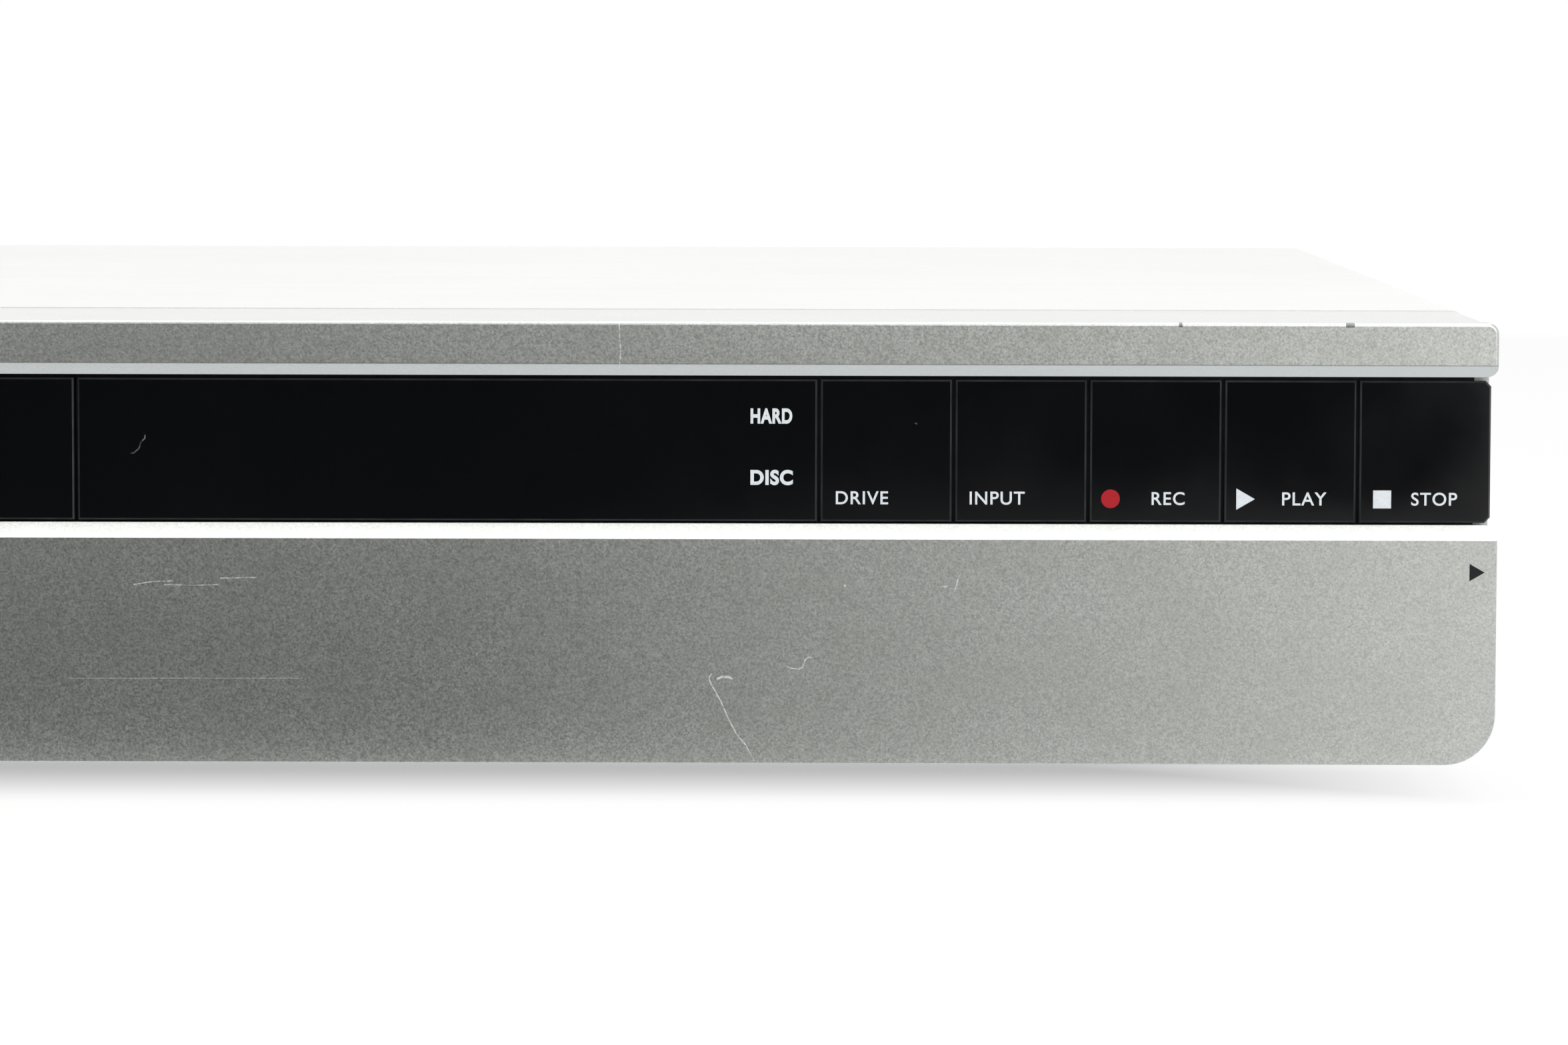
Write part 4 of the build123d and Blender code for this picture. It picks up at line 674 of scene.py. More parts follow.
def symbol(name, corners, radius, x, z, face_y, thickness, turn=0.0):
    """A flat printed mark with that many corners on an upright face."""
    made = start(name, bpy.ops.mesh.primitive_circle_add, vertices=corners, radius=radius, fill_type="NGON")
    bpy.ops.transform.rotate(value=-turn, orient_axis="Z", center_override=(0, 0, 0))
    extrude(0, 0, 2 * thickness)
    close(made)
    return stood_up(made, (x, face_y + thickness, z))


def small_can(name):
    """A small capacitor that stands on a board."""
    sleeve = painted(turned(name, CAN_SLEEVE, steps=CAN_STEPS), "dark_sleeve")
    top = painted(turned(name + "_top", CAN_TOP, steps=CAN_STEPS), "tin")
    return join(name, [sleeve, top])


# Shader sums and nodes

def summed(operation, swapped=False):
    """A method that makes one sum of a value and another one."""
    def method(self, other):
        pair = (other, self) if swapped else (self, other)
        return self.shader.maths(operation, *pair)
    return method


class Value:
    """An output socket that takes part in plain arithmetic."""

    __add__ = summed("ADD")
    __radd__ = summed("ADD", swapped=True)
    __sub__ = summed("SUBTRACT")
    __rsub__ = summed("SUBTRACT", swapped=True)
    __mul__ = summed("MULTIPLY")
    __rmul__ = summed("MULTIPLY", swapped=True)
    __truediv__ = summed("DIVIDE")
    __gt__ = summed("GREATER_THAN")
    __lt__ = summed("LESS_THAN")

    def __init__(self, shader, output):
        self.shader = shader
        self.output = output

    def __abs__(self):
        return self.shader.maths("ABSOLUTE", self, 0.0)

    def wrapped(self, length):
        """The value counted again from 0 after each length."""
        return self.shader.maths("WRAP", self, length, 0.0)


class Shader:
    """The nodes of one material or world."""

    def __init__(self, owner):
        owner.use_nodes = True
        self.owner = owner
        self.tree = owner.node_tree
        self.tree.nodes.clear()

    def node(self, kind, settings=None, inputs=None, output=0):
        """Adds a node: its settings first, then the values or links of its sockets."""
        made = self.tree.nodes.new(kind)
        for key, value in (settings or {}).items():
            setattr(made, key, value)
        for key, value in (inputs or {}).items():
            if isinstance(value, Value):
                self.tree.links.new(value.output, made.inputs[key])
            else:
                made.inputs[key].default_value = value
        return Value(self, made.outputs[output]) if made.outputs else None

    def maths(self, operation, *values):
        """One sum of one or two values."""
        return self.node("ShaderNodeMath", {"operation": operation}, dict(enumerate(values)))

    def vectors(self, operation, first, second, output="Vector"):
        """One sum of two vectors, or of a vector and its scale."""
        key = "Scale" if operation == "SCALE" else 1
        return self.node("ShaderNodeVectorMath", {"operation": operation}, {0: first, key: second}, output)

    def place(self):
        """The point on the object, in metres."""
        return self.node("ShaderNodeTexCoord", output="Object")

    def axes(self):
        """The point's three coordinates."""
        split = self.node("ShaderNodeSeparateXYZ", inputs={0: self.place()})
        outputs = split.output.node.outputs
        return [Value(self, outputs[i]) for i in range(3)]

    def noise(self, size, detail=2.0, stretch=(1, 1, 1)):
        """Soft noise from 0 to 1 with blobs of a size in metres."""
        scale = [1 / (size * s) for s in stretch]
        point = self.vectors("MULTIPLY", self.place(), scale)
        return self.node("ShaderNodeTexNoise", inputs={"Vector": point, "Scale": 1.0, "Detail": detail})

    def cells(self, size, output="Color"):
        """Random cells of a size in metres."""
        return self.node("ShaderNodeTexVoronoi", {"feature": "F1"},
                         {"Vector": self.place(), "Scale": 1 / size}, output)

    def cell_tone(self, size):
        """One random number for each cell of a size in metres."""
        return self.node("ShaderNodeSeparateColor", inputs={0: self.cells(size)})

    def spread(self, value, low, high, bottom=0.0, top=1.0):
        """Maps a value's range to another, clamped."""
        return self.node("ShaderNodeMapRange", inputs={
            "Value": value, "From Min": low, "From Max": high, "To Min": bottom, "To Max": top})

    def between(self, noise, bottom, top):
        """Spreads the values that noise mostly has between two numbers."""
        return self.spread(noise, 0.3, 0.7, bottom, top)

    def mix(self, factor, first, second):
        """Mixes two colours."""
        return self.node("ShaderNodeMix", {"data_type": "RGBA"}, {0: factor, 6: first, 7: second}, 2)

    def blend(self, noise, first, second):
        """Mixes two colours by a noise."""
        return self.mix(self.between(noise, 0.0, 1.0), first, second)

    def uneven(self, colour, darkest, lightest, size, detail=3.0):
        """A colour from 0 to 255 that drifts between two shades, with blobs of a size in metres."""
        plain = linear(*colour)
        return self.blend(self.noise(size, detail), shade(plain, darkest), shade(plain, lightest))

    def bump(self, height, strength, distance):
        """A normal from a height."""
        return self.node("ShaderNodeBump", inputs={
            "Height": height, "Strength": strength, "Distance": distance})

    def finish(self, **sockets):
        """Ends the material with a surface shader whose sockets are named with underscores for spaces."""
        inputs = {key.replace("_", " "): value for key, value in sockets.items()}
        surface = self.node("ShaderNodeBsdfPrincipled", inputs=inputs)
        return self.output(surface)

    def output(self, surface, kind="Material"):
        """Ends the material or world with a surface."""
        self.node("ShaderNodeOutput" + kind, inputs={"Surface": surface})
        return self.owner


def new_shader(name):
    """The shader of a new material."""
    return Shader(bpy.data.materials.new(name))


def line_mask(shader, value, place, width):
    """1 on a thin line at a place along a coordinate, 0 elsewhere."""
    return shader.spread(abs(value - place), width * 0.4, width, 1.0, 0.0)


def speck_mask(shader, spacing, radius, patch, level):
    """1 on specks a spacing apart, where soft patches rise above a level."""
    return (shader.cells(spacing, "Distance") < radius) * (shader.noise(patch, 1.0) > level)


def trace_mask(shader, traces, deepest):
    """1 on thin broken traces over the front faces. Each is a width and its points, in millimetres."""
    flat = shader.vectors("MULTIPLY", shader.place(), (1, 0, 1))
    nearest = 1.0
    for width, points in traces:
        for first, last in zip(points, points[1:]):
            start_point = mm(first[0], 0, first[1])
            run = mm(last[0], 0, last[1]) - start_point
            reach = shader.vectors("SUBTRACT", flat, tuple(start_point))
            along = shader.vectors("DOT_PRODUCT", reach, tuple(run), "Value") / run.length_squared
            foot = shader.vectors("SCALE", tuple(run), shader.spread(along, 0.0, 1.0))
            gap = shader.vectors("DISTANCE", reach, foot, "Value") / (width * MM)
            nearest = shader.maths("MINIMUM", gap, nearest)
    in_front = shader.axes()[1] < deepest
    broken = shader.spread(shader.noise(size=0.0005), 0.38, 0.56, bottom=0.25, top=1.0)
    return shader.spread(nearest, 0.3, 1.0, bottom=1.0, top=0.0) * in_front * broken


# Materials

def white_paint():
    """Satin white paint with a faint orange peel and three pressed lines across the cover, darkened with
    painted shade.
    """
    s = new_shader("white_paint")
    y = s.axes()[1]
    lines = 0.0
    for place in PRESSED_LINES:
        lines = line_mask(s, y, place, PRESSED_WIDTH) + lines
    base = s.blend(s.noise(size=0.06, detail=3.0), linear(244, 244, 242), linear(240, 240, 237))
    # Painted shade: the pressed lines are darkened in colour as shaded grooves; the bump below sinks them for
    # real.
    base = s.mix(lines * 0.1, base, linear(150, 150, 146))
    rough = s.between(s.noise(size=0.004, detail=3.0), 0.32, 0.42)
    peel = s.bump(s.noise(size=0.0009) - lines * 2.0, strength=0.12, distance=0.00006)
    return s.finish(Base_Color=base, Roughness=rough, Normal=peel)


def silver_paint():
    """Fine-grained metallic silver paint with its wear, a painted reflection on the strip's lower bevel and
    painted shade along its crease.
    """
    s = new_shader("silver_paint")
    x, y, z = s.axes()
    grain = s.noise(size=0.00028, detail=1.0)
    flakes = s.cell_tone(0.0002)
    glitter = s.spread(grain * 0.6 + flakes * 0.4, 0.25, 0.75)
    base = s.mix(glitter, linear(182, 184, 180), linear(210, 212, 208))
    blotches = s.spread(s.noise(size=0.012, detail=4.0), 0.35, 0.65, top=0.35)
    base = s.mix(blotches, base, linear(186, 187, 182))
    # Painted reflection: the strip's lower bevel gets a lighter, bluish grey that stands in for the white
    # floor it mirrors, and less roughness.
    lower = (z < CREASE_Z) * (z > CREASE_Z - LOWER_EDGE) * (y < FRONT_Y + LOWER_EDGE)
    base = s.mix(lower * 0.85, base, linear(196, 201, 202))
    # Painted shade: a thin dark line along the crease between the strip's face and its lower bevel.
    crease_shade = line_mask(s, z, CREASE_Z, CREASE_WIDTH) * (y < FRONT_Y + FACE_SKIN)
    base = s.mix(crease_shade * 0.5, base, linear(92, 93, 92))
    for across, wide in EDGE_CHIPS:
        chip = (abs(x - across) < wide) * (z > CHIP_BOTTOM) * (y < FRONT_Y + CHIP_DEPTH)
        base = s.mix(chip * 0.8, base, linear(60, 62, 66))
    specks = speck_mask(s, spacing=0.0065, radius=0.022, patch=0.03, level=0.57)
    marks = s.maths("MAXIMUM", trace_mask(s, FLAP_MARKS, FRONT_Y + FACE_SKIN), specks * 0.5)
    base = s.mix(marks * 0.65, base, linear(236, 238, 236))
    rough = s.spread(grain, 0.2, 0.8, bottom=0.3, top=0.42) + marks * 0.2
    return s.finish(
        Base_Color=base, Metallic=s.spread(marks, 0.0, 1.0, bottom=0.95, top=0.4),
        Roughness=rough * (1 - lower * 0.7), Coat_Weight=0.7, Coat_Roughness=0.12,
        Normal=s.bump(grain * 0.7 + flakes * 0.4, strength=0.16, distance=0.00005))


def black_gloss():
    """Polished black acrylic with a little dust and smear."""
    s = new_shader("black_gloss")
    dust = speck_mask(s, spacing=0.0085, radius=0.014, patch=0.02, level=0.55)
    dust = s.maths("MAXIMUM", dust, trace_mask(s, WINDOW_MARKS, FRONT_Y + BAND_DEPTH))
    base = s.mix(dust, linear(11, 12, 14), linear(104, 108, 112))
    smear = s.spread(s.noise(size=0.018, detail=4.0), 0.35, 0.7, bottom=0.06, top=0.13)
    wave = s.bump(s.noise(size=0.02, detail=1.0), strength=0.02, distance=0.0004)
    return s.finish(Base_Color=base, Roughness=smear + dust * 0.5, IOR=1.46, Normal=wave)


def black_edge():
    """Painted highlight: the black acrylic's polished chamfers get a lighter grey, for the light their edges
    catch.
    """
    s = new_shader("black_edge")
    base = s.blend(s.noise(size=0.004), linear(40, 43, 45), linear(56, 59, 61))
    return s.finish(Base_Color=base, Roughness=0.25, IOR=1.46)


def moulded(name, colour, rough, grain, depth):
    """Textured moulded plastic of a colour."""
    s = new_shader(name)
    fine = s.noise(grain)
    return s.finish(
        Base_Color=s.uneven(colour, 0.9, 1.12, size=0.02),
        Roughness=s.between(fine, rough - 0.06, rough + 0.08), Normal=s.bump(fine, depth, distance=0.0001))


def metal(name, colour, rough, grain, depth):
    """Bare metal with a fine grain that may be stretched along one way."""
    s = new_shader(name)
    fine = s.noise(1.0, 3.0, grain)
    return s.finish(
        Base_Color=s.uneven(colour, 0.93, 1.05, size=0.015), Metallic=1.0,
        Roughness=s.between(fine, rough - 0.05, rough + 0.07), Normal=s.bump(fine, depth, distance=0.00005))


def zinc_steel():
    """Zinc-plated sheet steel with its spangle."""
    s = new_shader("zinc_steel")
    spangle = s.cell_tone(0.0045)
    fine = s.noise(1.0, 3.0, stretch=(0.03, 0.0004, 0.0004))
    return s.finish(
        Base_Color=s.mix(spangle, linear(201, 204, 206), linear(212, 214, 215)), Metallic=0.9,
        Roughness=s.spread(spangle, 0.0, 1.0, bottom=0.37, top=0.45),
        Normal=s.bump(fine, strength=0.08, distance=0.00005))


def board_green():
    """Green solder mask with lighter tracks and pads."""
    s = new_shader("board_green")
    x, y, z = s.axes()
    sockets = {"Vector": s.place(), "Scale": 1 / TRACK_FIELD}
    field = s.node("ShaderNodeTexVoronoi", {"distance": "CHEBYCHEV"}, sockets, "Color")
    parts = s.node("ShaderNodeSeparateColor", inputs={0: field}).output.node.outputs
    along, bare = [Value(s, parts[i]) > 0.5 for i in (0, 1)]
    across = x + (y - x + z) * along
    from_track = abs(across.wrapped(TRACK_PITCH) - TRACK_PITCH / 2)
    tracks = s.spread(from_track, *TRACK_HALF, bottom=1.0, top=0.0) * (1 - bare * 0.75)
    pads = s.cells(PAD_SPACING, "Distance") < 0.13
    base = s.mix(tracks * 0.6, linear(22, 86, 52), linear(52, 128, 78))
    base = s.mix(pads, base, linear(190, 186, 160))
    rough = s.between(s.noise(size=0.01), 0.26, 0.36)
    relief = s.bump(tracks + pads, strength=0.2, distance=0.00008)
    return s.finish(Base_Color=base, Metallic=pads * 0.8, Roughness=rough, Normal=relief)


def ribbon():
    """Grey flat cable with its row of round wires, with painted shade in the valleys between them."""
    s = new_shader("ribbon")
    from_wire = abs(s.axes()[0].wrapped(WIRE_PITCH) - WIRE_PITCH / 2)
    valley = s.spread(from_wire, WIRE_PITCH * 0.3, WIRE_PITCH * 0.5)
    # Painted shade: the valleys between the wires are coloured a darker grey.
    base = s.mix(valley, linear(158, 160, 162), linear(112, 114, 116))
    rough = s.spread(valley, 0.0, 1.0, bottom=0.38, top=0.55)
    relief = s.bump(1 - valley, strength=0.35, distance=0.0002)
    return s.finish(Base_Color=base, Roughness=rough, Normal=relief)


def glass(name, colour):
    """Tinted glass."""
    s = new_shader(name)
    base = s.uneven(colour, 0.9, 1.1, size=0.01, detail=2.0)
    return s.finish(Base_Color=base, Roughness=0.04, IOR=1.5, Transmission_Weight=0.5, Coat_Weight=0.3)


def transformer_finish():
    """Dark ferrite with amber tape round the bobbin."""
    s = new_shader("ferrite")
    tape = abs(s.axes()[1] - middle("transformer").y) > TRANSFORMER_WAIST / 2 + TAPE_GAP
    base = s.mix(tape, linear(58, 57, 58), linear(196, 150, 48))
    fine = s.noise(size=0.0006, detail=3.0)
    relief = s.bump(fine, strength=0.2, distance=0.0001)
    return s.finish(Base_Color=base, Roughness=s.between(fine, 0.42, 0.62), Normal=relief)


def ink(name, colour):
    """Printed ink with a slightly uneven coat."""
    s = new_shader(name)
    base = s.uneven(colour, 0.94, 1.04, size=0.0004, detail=2.0)
    coat = s.bump(s.noise(size=0.0002, detail=1.0), strength=0.1, distance=0.00002)
    return s.finish(Base_Color=base, Roughness=0.5, Specular_IOR_Level=0.2, Normal=coat)


def make_materials():
    """All materials by the slot or finish they stand for."""
    made = {
        "white_paint": white_paint(), "zinc_steel": zinc_steel(), "silver_paint": silver_paint(),
        "black_gloss": black_gloss(), "black_edge": black_edge(), "board_green": board_green(),
        "ribbon": ribbon(), "ferrite": transformer_finish(),
    }
    made.update({name: moulded(name, *row) for name, row in PLASTICS.items()})
    made.update({name: metal(name, *row) for name, row in METALS.items()})
    made.update({name: glass(name, colour) for name, colour in GLASSES.items()})
    made.update({name: ink(name, colour) for name, colour in INKS.items()})
    return made


MATERIALS = {}


# Driving sizes that a user would change

def length(name, description, default):
    """A size in metres that the sidebar shows."""
    return bpy.props.FloatProperty(
        name=name, description=description, default=default, unit="LENGTH", precision=6)


class LegendSettings(bpy.types.PropertyGroup):
    """Sizes of the words and symbols."""

    ink_thickness: length("Ink thickness", "How far the ink stands proud of its face", 0.00002)
    word_height: length("Word height", "Height of the capitals on the keys", 0.0018)
    word_base: length("Word base line", "Height of the keys' base line over the floor", 0.04045)
    window_word_height: length("Window word height", "Height of the capitals in the window", 0.0021)
    symbol_radius: length("Symbol radius", "Radius of the record dot", 0.00128)
    symbol_height: length("Symbol height", "Height of the symbols' middle over the floor", 0.0413)


class SocketSettings(bpy.types.PropertyGroup):
    """Sizes of the coloured socket rings."""

    ring_inner: length("Ring bore", "Inner radius of a coloured socket ring", 0.0042)
    ring_outer: length("Ring outside", "Outer radius of a coloured socket ring", 0.0057)
    ring_depth: length("Ring depth", "How far a coloured ring stands out", 0.0009)


class StudioSettings(bpy.types.PropertyGroup):
    """The camera and the light."""

    camera_place: bpy.props.FloatVectorProperty(
        name="Camera place", description="Where the camera stands",
        default=(0.1177, -0.968, 0.1029), subtype="TRANSLATION", size=3)
    camera_aim: bpy.props.FloatVectorProperty(
        name="Camera aim", description="The point in the middle of the picture",
        default=(0.1177, -0.155, 0.0381), subtype="TRANSLATION", size=3)
    camera_roll: bpy.props.FloatProperty(
        name="Camera roll", description="How far the camera is turned about its own line of sight",
        default=0.00244, subtype="ANGLE")
    lens: bpy.props.FloatProperty(
        name="Lens", description="Focal length on a 36 mm wide sensor",
        default=137.3, unit="CAMERA")
    room_level: bpy.props.FloatProperty(
        name="Room level", description="Strength of the room's even light",
        default=0.42, min=0.0)
    top_power: bpy.props.FloatProperty(
        name="Top lamp", description="Power of the wide lamp overhead",
        default=11.0, subtype="POWER")
    side_power: bpy.props.FloatProperty(
        name="Side lamp", description="Power of the soft lamp at the front right",
        default=3.4, subtype="POWER")


# Operators, one for each group of pieces

class RECORDER_OT_finish_nodes(bpy.types.Operator):
    """Gives every CAD piece its finish, and the curved ones a smooth skin"""

    bl_idname = "recorder.finish_nodes"
    bl_label = "Finish the CAD pieces"

    def execute(self, context):
        for name, node in NODES.items():
            finish = OWN_FINISH.get(name, SLOTS[name])
            if name not in SMOOTH_NODES:
                painted(node, finish)
                continue
            made = self.merged_copy(name)
            if SMOOTH_NODES[name]:
                bevel(made, SMOOTH_NODES[name], SKIN_ANGLE)
            smooth(made)
            dress(made, node["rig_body"], finish)
            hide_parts(name)
            if finish == "black_gloss":
                self.edge_chamfers(made)
        return {"FINISHED"}

    def merged_copy(self, name):
        """A copy of a CAD node with its points merged and flat areas cleared of needless edges."""
        made = bpy.data.objects.new(name + "_shell", NODES[name].data.copy())
        bpy.context.scene.collection.objects.link(made)
        pick(made)
        if made.data.has_custom_normals:
            bpy.ops.mesh.customdata_custom_splitnormals_clear()
        bpy.ops.object.mode_set(mode="EDIT")
        bpy.ops.mesh.select_all(action="SELECT")
        bpy.ops.mesh.remove_doubles(threshold=WELD)
        bpy.ops.mesh.dissolve_limited(angle_limit=FLAT_ANGLE)
        bpy.ops.object.mode_set(mode="OBJECT")
        return made

    def edge_chamfers(self, made):
        """Gives the slanting faces round a band piece's front the lighter grey of a painted highlight."""
        made.data.materials.append(MATERIALS["black_edge"])
        for face in made.data.polygons:
            if CHAMFER_SLANTS[0] < face.normal.y < CHAMFER_SLANTS[1]:
                face.material_index = 1


class RECORDER_OT_key_legends(bpy.types.Operator):
    """Prints the words and symbols on the keys"""

    bl_idname = "recorder.key_legends"
    bl_label = "Print the key legends"

    def execute(self, context):
        size = context.scene.recorder_legends
        for key, text, left in KEY_WORDS:
            node = key + "_key"
            place = (left * MM, face_of(node), size.word_base)
            made = lettering(key + "_word", text, size.word_height, place, size.ink_thickness, KEY_WEIGHT)
            dress(made, NODES[node]["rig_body"], "white_ink")
        for key, name, corners, share, x, quarters, finish in KEY_SYMBOLS:
            made = symbol(name, corners, size.symbol_radius * share, x * MM, size.symbol_height,
                          face_of(key + "_key"), size.ink_thickness, quarters * QUARTER)
            dress(made, key + "_button", finish)
        return {"FINISHED"}


class RECORDER_OT_left_symbols(bpy.types.Operator):
    """Prints the usual standby and eject symbols on the two left keys"""

    bl_idname = "recorder.left_symbols"
    bl_label = "Print the left keys' symbols"

    def execute(self, context):
        size = context.scene.recorder_legends
        for key, print_symbol in (("standby", self.standby), ("eject", self.eject)):
            place = Vector((middle(key + "_key").x, face_of(key + "_key"), size.symbol_height))
            made = print_symbol(key + "_symbol", place, size.symbol_radius, size.ink_thickness)
            dress(made, key + "_button", "white_ink")
        return {"FINISHED"}

    def standby(self, name, place, radius, depth):
        """An open circle with a bar through its gap."""
        line = radius * STANDBY_LINE
        middle_line = (radius, 0, 0)
        made = start(name, bpy.ops.mesh.primitive_plane_add, size=line, location=middle_line)
        bpy.ops.transform.rotate(value=QUARTER, orient_axis="X", center_override=middle_line)
        bpy.ops.transform.resize(value=(1, 1, 2 * depth / line), center_override=middle_line)
        first_end = QUARTER + STANDBY_GAP / 2
        bpy.ops.transform.rotate(value=-first_end, orient_axis="Z", center_override=(0, 0, 0))
        bpy.ops.mesh.spin(steps=PLATE_STEPS, angle=CIRCLE - STANDBY_GAP, center=(0, 0, 0), axis=(0, 0, 1))
        close(made)
        bore = min(vertex.co.xy.length for vertex in made.data.vertices)
        low = Vector((-line / 2, STANDBY_BAR[0] * bore, -depth))
        bar = slab("standby_bar", low, Vector((line / 2, STANDBY_BAR[1] * radius, depth)))
        return stood_up(join(name, [made, bar]), place)

    def eject(self, name, place, radius, depth):
        """A triangle over a bar."""
        z = place.z + radius * EJECT_RISE
        mark = symbol(name, 3, radius * EJECT_TRIANGLE, place.x, z, place.y, depth, math.pi)
        half, low, high = [share * radius for share in EJECT_BAR]
        bar = slab("eject_bar", place + Vector((-half, -depth, low)), place + Vector((half, depth, high)))
        return join(name, [mark, bar])


class RECORDER_OT_window_legends(bpy.types.Operator):
    """Prints the two words at the display window's right end"""

    bl_idname = "recorder.window_legends"
    bl_label = "Print the window legends"

    def execute(self, context):
        size = context.scene.recorder_legends
        for label, text, base, width in WINDOW_WORDS:
            place = (WINDOW_WORDS_LEFT, face_of("display_window"), base * MM)
            made = lettering(label + "_window_word", text, size.window_word_height, place,
                             size.ink_thickness, WINDOW_WEIGHT, width * MM)
            dress(made, "case", "white_ink")
        return {"FINISHED"}


class RECORDER_OT_flap_mark(bpy.types.Operator):
    """Prints the small triangle at the flap's right end"""

    bl_idname = "recorder.flap_mark"
    bl_label = "Print the flap mark"

    def execute(self, context):
        depth = context.scene.recorder_legends.ink_thickness
        face_y = face_of("front_flap")
        made = symbol("flap_triangle", 3, FLAP_TRIANGLE_RADIUS, *FLAP_TRIANGLE, face_y, depth, -QUARTER)
        dress(made, "flap", "dark_ink")
        return {"FINISHED"}


class RECORDER_OT_socket_rings(bpy.types.Operator):
    """Puts a coloured ring round each phono socket"""

    bl_idname = "recorder.socket_rings"
    bl_label = "Add the socket rings"

    def execute(self, context):
        size = context.scene.recorder_sockets
        shape = (size.ring_inner, size.ring_outer, size.ring_depth, RING_EDGE)
        front = ring("ring_pattern", *shape, axis="Y", steps=RING_STEPS)
        front_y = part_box("socket_pocket")[1].y - FRONT_RING_DEPTH
        for i, (x, finish) in enumerate(zip(FRONT_COLUMNS, FRONT_RINGS)):
            place = Vector((x, front_y, middle("front_sockets").z))
            dress(copied(front, f"front_ring_{i + 1}", place), "case", finish)
        rear = ring("rear_ring_pattern", *shape, axis="-Y", steps=RING_STEPS)
        rear_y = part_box("rear_panel")[1].y
        for z, finishes in REAR_RINGS.items():
            for i, (x, finish) in enumerate(zip(PHONO_COLUMNS, finishes)):
                name = f"rear_ring_{i + 1}_{round(z / MM)}"
                dress(copied(rear, name, Vector((x, rear_y, z))), "case", finish)
        for pattern in (front, rear):
            bpy.data.objects.remove(pattern)
        return {"FINISHED"}


class RECORDER_OT_rear_numbers(bpy.types.Operator):
    """Prints a plain 1 and 2 beside the wide sockets and 1 to 4 over the phono sockets"""

    bl_idname = "recorder.rear_numbers"
    bl_label = "Print the rear numbers"

    def execute(self, context):
        size = context.scene.recorder_legends
        height = size.word_height * NUMBER_HEIGHT
        low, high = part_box("scart_sockets")
        phono_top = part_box("rear_av_sockets")[1].z
        numbers = [("wide", i + 1, i + 1, low.x - WIDE_NUMBER_GAP, low.z + (high.z - low.z) * rise)
                   for i, rise in enumerate(WIDE_NUMBER_RISES)]
        numbers += [("phono", i + 1, len(PHONO_COLUMNS) - i, x + height / 3, phono_top + PHONO_NUMBER_GAP)
                    for i, x in enumerate(PHONO_COLUMNS)]
        for kind, i, number, x, z in numbers:
            place = (x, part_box("rear_panel")[1].y, z)
            made = lettering(f"{kind}_number_{i}", str(number), height, place, size.ink_thickness,
                             NUMBER_WEIGHT, turn=math.pi)
            dress(made, "case", "dark_ink")
        return {"FINISHED"}


class RECORDER_OT_contacts(bpy.types.Operator):
    """Puts the contacts into the wide, the flat and the small sockets"""

    bl_idname = "recorder.contacts"
    bl_label = "Add the socket contacts"

    def execute(self, context):
        floor_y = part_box("scart_sockets")[1].y - WIDE_MOUTH_DEPTH
        rises = [WIDE_REACH if i % 2 else -WIDE_REACH for i in range(WIDE_CONTACTS)]
        for number, z in enumerate(WIDE_ROWS):
            place = Vector((middle("scart_sockets").x, floor_y, z))
            assembled(f"wide_contacts_{number + 1}", self.row("blade", place, WIDE_PITCH, rises))
        place = Vector((DIGITAL_X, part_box("rear_av_sockets")[1].y - DIGITAL_TONGUE_BACK, DIGITAL_Z))
        assembled("digital_contacts", self.row("pin", place, DIGITAL_PITCH, [0] * DIGITAL_PINS))
        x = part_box("front_sockets")[1].x - SMALL_WIDTH / 2
        place = Vector((x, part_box("socket_pocket")[1].y - SMALL_FLOOR, middle("front_sockets").z))
        lining = blocks("lining", place)
        contacts = self.row("contact", place, SMALL_PITCH, [0] * SMALL_CONTACTS)
        assembled("small_socket_contacts", [lining] + contacts)
        return {"FINISHED"}

    def row(self, name, place, pitch, rises):
        """Contacts in a row about a place, each with its rise in millimetres."""
        offsets = [place + mm(x, 0, rise) for x, rise in zip(spaced(len(rises), pitch), rises)]
        return scattered(blocks(name), offsets)


